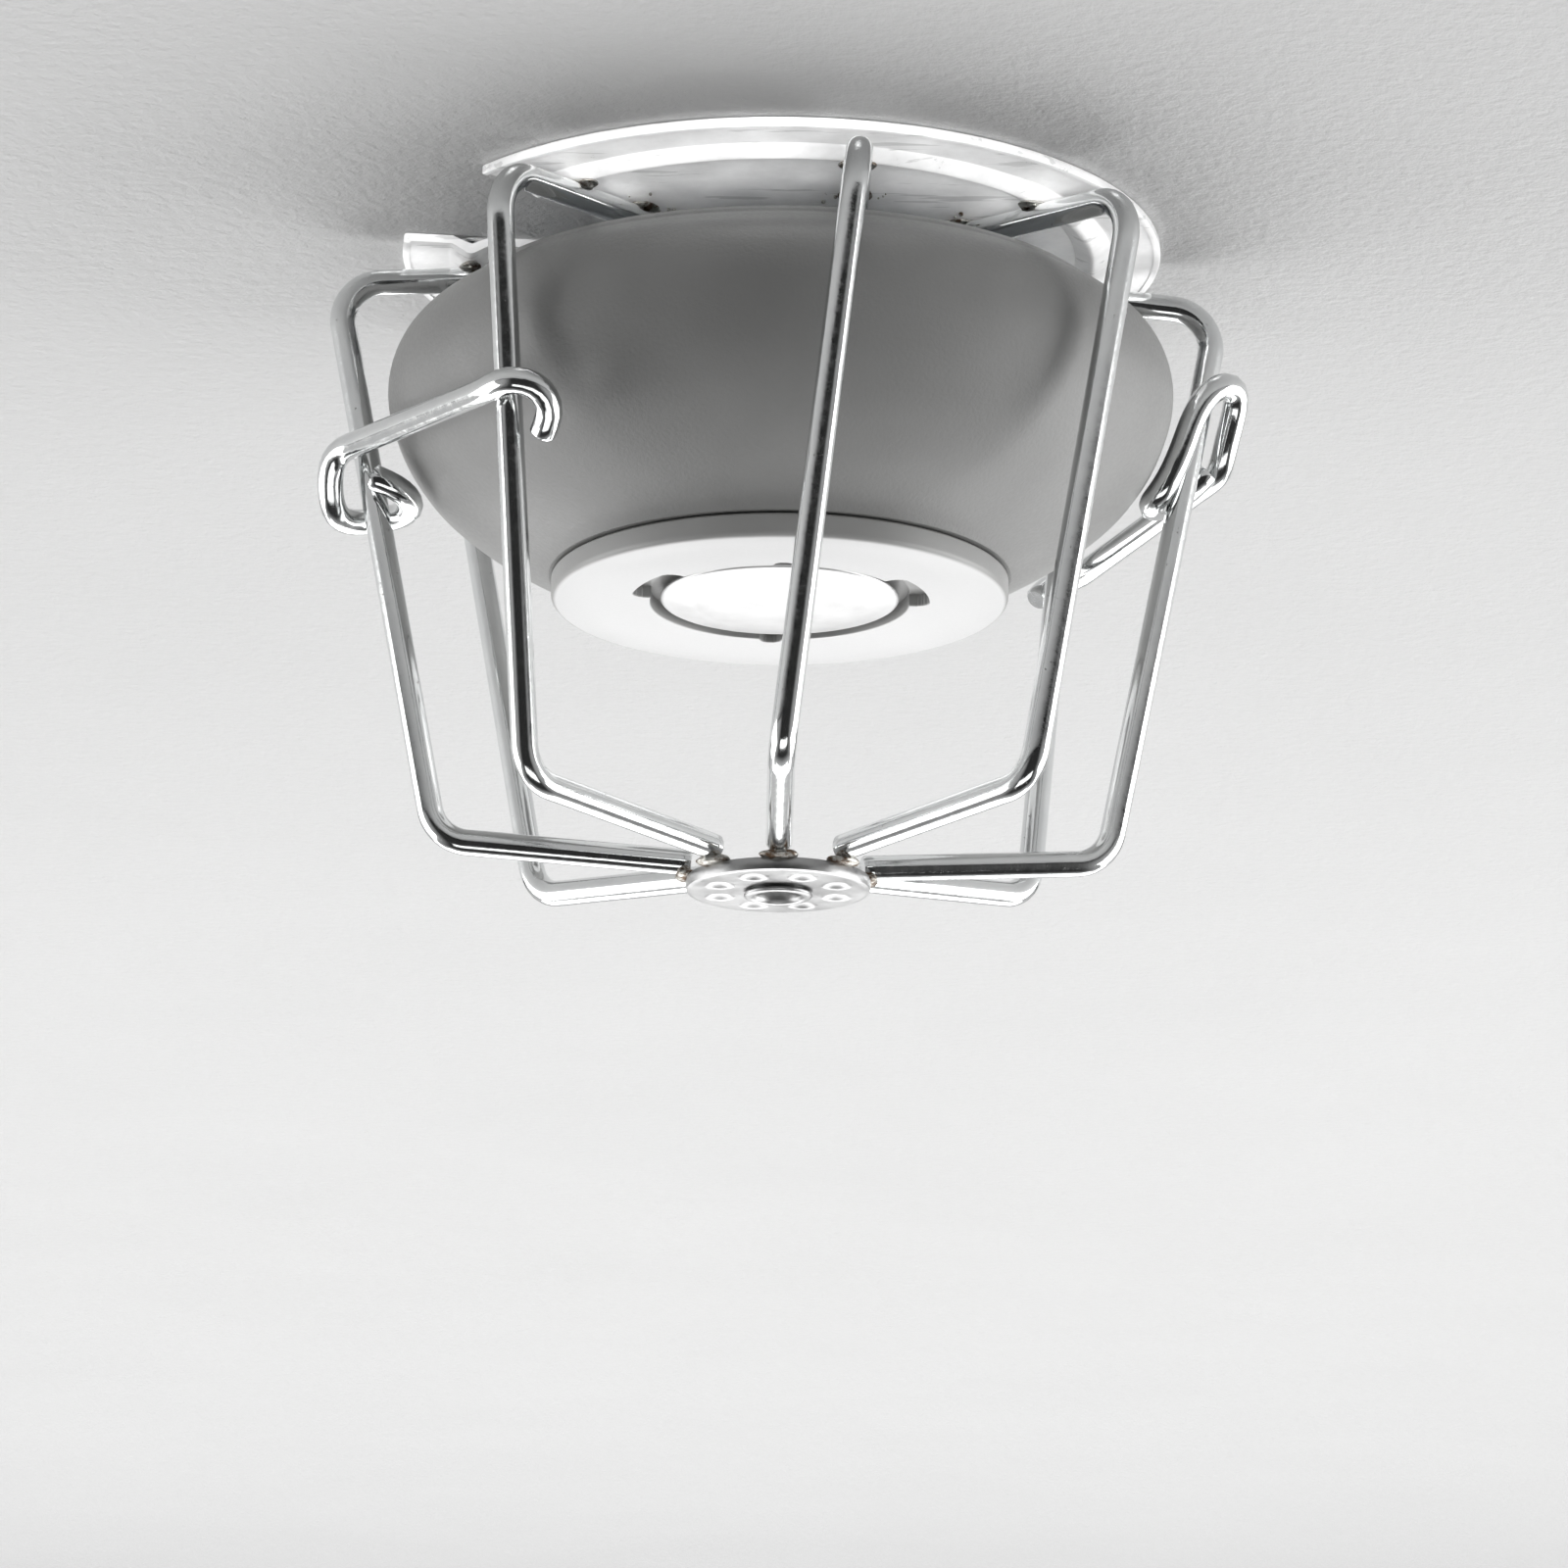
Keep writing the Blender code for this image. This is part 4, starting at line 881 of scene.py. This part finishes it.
def housing(finish):
    """Hollow bowl with a neck, a hole for the face ring, the bayonet lugs and the bosses inside."""
    outer = rounded_profile(BODY, 3)
    inner = [p for p in inner_side(BODY, WALL)[::2] if p[1] < NECK_FOOT_Z - 1.0 and p[0] > FACE_HOLE_R + 1.0]
    profile = [
        *outer, (FLOOR_R, FLOOR_Z), (FACE_HOLE_R, FLOOR_Z), (FACE_HOLE_R, FLOOR_TOP_Z), *reversed(inner),
        (NECK_BORE_R, NECK_FOOT_Z), (NECK_BORE_R, NECK_TOP_Z),
    ]
    shell = revolve("moulded_housing", profile, finish, BODY_STEPS)
    lug = block(LUG_INNER_R, LUG_OUTER_R, LUG_TOP_Z, LUG_Z)
    for k, turn in enumerate(LUG_TURNS):
        arc = (turn - LUG_HALF_TURN, turn + LUG_HALF_TURN)
        join(shell, revolve(f"lug_{k}", lug, finish, 8, arc=arc))
    post = block(BOSS_BORE_R, BOSS_OUTER_R, BOSS_TOP_Z, BOSS_Z)
    for k, turn in enumerate(BOSS_TURNS):
        x, y, _ = at(BOSS_R, turn, 0.0)
        join(shell, revolve(f"boss_{k}", post, finish, 24, (x, y)))
    smoothed(shell.data, SHARP_DEG)
    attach(shell, "head")
    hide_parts("housing_shell")


def face_ring(finish):
    """Face ring with its recess, the two curved slots that open into it and the two round nicks."""
    # The flat is cut into fine rings where the slots are.
    count = round((SLOT_R + SLOT_MARGIN - RECESS_R - 0.2) / SLOT_RING)
    flat = [(SLOT_R + SLOT_MARGIN - k * SLOT_RING, FACE_Z) for k in range(count)]
    profile = [
        (FACE_BORE_R, FACE_INNER_Z), (SKIRT_ROOT_R, FACE_INNER_Z), (SKIRT_INNER_R, SKIRT_TOP_Z),
        (SKIRT_R, SKIRT_TOP_Z), (SKIRT_R, FACE_TOP_Z), (FACE_R - 0.3, FACE_TOP_Z),
        (FACE_R, FACE_TOP_Z - 0.3), (FACE_R, FACE_Z + 0.9), (FACE_R - 0.1, FACE_Z + 0.5),
        (FACE_R - 0.35, FACE_Z + 0.2), (FACE_R - 0.9, FACE_Z), (27.0, FACE_Z), *flat,
        (RECESS_R + 0.25, FACE_Z), (RECESS_R + 0.07, FACE_Z + 0.07), (RECESS_R, FACE_Z + 0.25),
        (RECESS_R, RECESS_Z), (12.0, RECESS_Z), (FACE_BORE_R, RECESS_Z),
    ]

    def bite(radius, height, turn):
        if height > FACE_Z + 0.3 or radius > SLOT_R + 0.05:
            return height
        for centre, half in SLOTS:
            inside = half - abs((turn - centre + 180) % 360 - 180)
            if inside > 0:
                end = max(0.0, 1.0 - inside / SLOT_END)
                if radius < RECESS_R + (SLOT_R - RECESS_R) * math.sqrt(1.0 - end * end):
                    return FACE_Z + SLOT_DEEP
        for centre in NICKS:
            if (at(radius, turn, 0.0) - at(RECESS_R, centre, 0.0)).length < NICK_R:
                return RECESS_Z
        return height

    ring = revolve("moulded_face_ring", profile, finish, FACE_STEPS, lift=bite)
    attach(ring, "head")
    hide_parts("element_cap")


def collector(finish):
    """Spun collector disc: a shallow dish with a rolled rim."""
    under = COLLECTOR_Z
    rim = rounded_profile(
        [
            (POLE_R, under), (6.0, under + 0.1), (12.0, under + 0.35), (16.2, under + 0.74),
            (16.9, under + 0.84), (COLLECTOR_R, under + 1.1), (COLLECTOR_R, under + 1.35),
            (16.9, under + 1.56), (16.3, under + 1.58), (9.0, under + 0.95), (POLE_R, under + 0.8),
        ],
        6,
    )
    disc = revolve("spun_collector", rim, finish, COLLECTOR_STEPS)
    shape = bmesh.new()
    shape.from_mesh(disc.data)
    for vert in shape.verts:
        if vert.co.xy.length < 2 * POLE_R * MM:
            vert.co.x = vert.co.y = 0.0
    bmesh.ops.remove_doubles(shape, verts=shape.verts, dist=1e-6)
    bmesh.ops.recalc_face_normals(shape, faces=shape.faces)
    shape.to_mesh(disc.data)
    shape.free()
    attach(disc, "collector")
    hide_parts("collector_disc")


def cage(tree, finish, spots):
    """The seven cage wires as one piece, and the two latch links that turn on them."""
    paths = [even_run(rounded_path(cage_corners(name), BEND_R)) for name in WIRES]
    piece = wires("guard_cage_wires", paths, tree, finish)
    wear_near(piece, spots, WIRE_SCORCH)
    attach(piece, "guard_and_mount")
    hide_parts(*WIRES)
    links = {
        "left": ("guard_wire_left", "guard_wire_near_left", LEFT_EYE, LEFT_CROSSING_Z, LEFT_HOOK),
        "right": ("guard_wire_right", "guard_wire_far_right", RIGHT_EYE, RIGHT_CROSSING_Z, RIGHT_HOOK),
    }
    for side, facts in links.items():
        piece = wires(f"bent_latch_link_{side}", [link_path(*facts)], tree, finish)
        wear_near(piece, spots, WIRE_SCORCH)
        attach(piece, f"latch_{side}")
        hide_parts(f"latch_link_{side}")


def repaint(finishes):
    """Gives each CAD node the finish of its slot, which its first material is named for."""
    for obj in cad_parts.values():
        slot = obj.data.materials[0].name.split(".")[0]
        for place in obj.material_slots:
            place.material = finishes[slot]


# ---- stage, light and camera ----


def ceiling():
    shape = bmesh.new()
    half = CEILING_HALF
    corners = [(-half, -half), (half, -half), (half, half), (-half, half)]
    shape.faces.new([shape.verts.new(Vector((x, y, CEILING_Z)) * MM) for x, y in reversed(corners)])
    mesh = bpy.data.meshes.new("ceiling")
    shape.to_mesh(mesh)
    shape.free()
    mesh.materials.append(plaster())
    obj = linked("ceiling", mesh)


def softbox(name, place, aim, size, watts):
    """Rectangular lamp at a place, facing a point, both in millimetres. The camera doesn't see it."""
    lamp = bpy.data.lights.new(name, "AREA")
    lamp.shape = "RECTANGLE"
    lamp.size, lamp.size_y = size[0] * MM, size[1] * MM
    lamp.energy = watts
    obj = linked(name, lamp)
    obj.location = Vector(place) * MM
    obj.rotation_euler = (Vector(aim) - Vector(place)).to_track_quat("-Z", "Y").to_euler()
    obj.visible_camera = False
    return obj


def lights(sheets):
    """The lamps, and one more whose light falls on the sheets alone."""
    for lamp in LAMPS:
        softbox(*lamp)
    grazing = softbox(*PLATE_LAMP)
    lit = bpy.data.collections.new("plate_fill_lights")
    for sheet in sheets:
        lit.objects.link(sheet)
    grazing.light_linking.receiver_collection = lit


def surroundings():
    """Pale all round for the camera. For light and reflections it is dark in front and above, and bright behind
    and to the sides below the ceiling."""
    world = bpy.data.worlds.new("studio")
    bpy.context.scene.world = world
    world.use_nodes = True
    tree = world.node_tree
    direction = add(tree, "ShaderNodeTexCoord").outputs["Generated"]
    parts = add(tree, "ShaderNodeSeparateXYZ", links={"Vector": direction}).outputs
    side = add(tree, "ShaderNodeMath", {"operation": "ABSOLUTE"}, None, {0: parts[0]}).outputs[0]
    sides = add(tree, "ShaderNodeMapRange", SMOOTH, span(0.45, 0.8, 0.03, 0.4), {"Value": side}).outputs[0]
    behind = add(tree, "ShaderNodeMapRange", SMOOTH, span(-0.1, 0.5, 0.0, 0.6), {"Value": parts[1]}).outputs[0]
    below = add(tree, "ShaderNodeMapRange", SMOOTH, span(-0.05, 0.02, 1.0, 0.0), {"Value": parts[2]}).outputs[0]
    round_it = add(tree, "ShaderNodeMath", {"operation": "MAXIMUM"}, None, {0: sides, 1: behind}).outputs[0]
    level = add(tree, "ShaderNodeMath", TIMES, None, {0: round_it, 1: below}).outputs[0]
    seen = add(tree, "ShaderNodeLightPath").outputs["Is Camera Ray"]
    strength = add(tree, "ShaderNodeMix", {"data_type": "FLOAT"}, {3: BACKDROP_LEVEL}, {0: seen, 2: level})
    tree.links.new(strength.outputs[0], tree.nodes["Background"].inputs["Strength"])
    tree.nodes["Background"].inputs["Color"].default_value = (1.0, 1.0, 1.0, 1.0)


def camera():
    """Looks up at the detector from below and in front, with a slight roll."""
    pitch, roll = math.radians(CAMERA_PITCH), math.radians(CAMERA_ROLL)
    forward = Vector((0.0, math.cos(pitch), math.sin(pitch)))
    right = Vector((1.0, 0.0, 0.0))
    up = right.cross(forward)
    right, up = right * math.cos(roll) + up * math.sin(roll), up * math.cos(roll) - right * math.sin(roll)
    made = bpy.data.cameras.new("camera")
    made.lens, made.sensor_width, made.sensor_height = LENS, SENSOR, SENSOR
    made.clip_start = NEAREST_M
    obj = linked("camera", made)
    turn = Matrix((right, up, -forward)).transposed().to_4x4()
    obj.matrix_world = Matrix.Translation(Vector(CAMERA_PLACE) * MM) @ turn
    bpy.context.scene.camera = obj


def main():
    wire_finish = chrome_wire()
    sheet_finish = plated_sheet("passivated_zinc_on_pressed_sheet", 0.3, "#ebebeb", "#cfcfcf")
    hub_finish = plated_sheet("bright_zinc_on_punched_disc", 0.95, "#b4b4b4", "#929292")
    finishes = {
        "chrome_wire": wire_finish,
        "plated_sheet": sheet_finish,
        "white_housing": moulded(
            "moulded_abs_housing", "#8b8b8a", "#818180", low=0.42, high=0.6, texture_mm=0.6, deep_mm=0.07,
        ),
        "white_face": moulded(
            "moulded_abs_face", "#a2a2a1", "#989897", low=0.3, high=0.45, texture_mm=0.5, deep_mm=0.012,
            # The paler face colour is painted light on the ring's flat underside.
            face="#d2d2d2",
        ),
        "collector_metal": turned(
            "spun_aluminium", "#cacaca", "#bcbcbc", low=0.34, high=0.46, ring_mm=0.6, deep_mm=0.014,
        ),
        "brass": turned("turned_brass", "#d0ab63", "#b98f45", low=0.22, high=0.4),
        "fusible_alloy": soft_alloy(),
        "screw_steel": turned("headed_screw_steel", "#b9babb", "#9a9b9c", low=0.25, high=0.45),
        "grey_moulding": moulded(
            "moulded_grey_polycarbonate", "#8d9092", "#7c7f81", low=0.45, high=0.62, texture_mm=0.5,
            deep_mm=0.02, ior=1.585,
        ),
        "contact_alloy": turned("rolled_beryllium_copper", "#c98a63", "#b3744c", low=0.22, high=0.4),
    }
    repaint(finishes)
    spots = [spot[0] * MM for spot in weld_spots()]
    cage(wire_tree(), wire_finish, spots)
    sheets = plates(sheet_finish, spots)
    beads = welds(weld_metal())
    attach(beads, "guard_and_mount")
    hub(hub_finish)
    housing(finishes["white_housing"])
    face_ring(finishes["white_face"])
    collector(finishes["collector_metal"])
    ceiling()
    lights(sheets)
    surroundings()
    camera()
    bpy.context.scene.view_settings.view_transform = "Standard"


main()
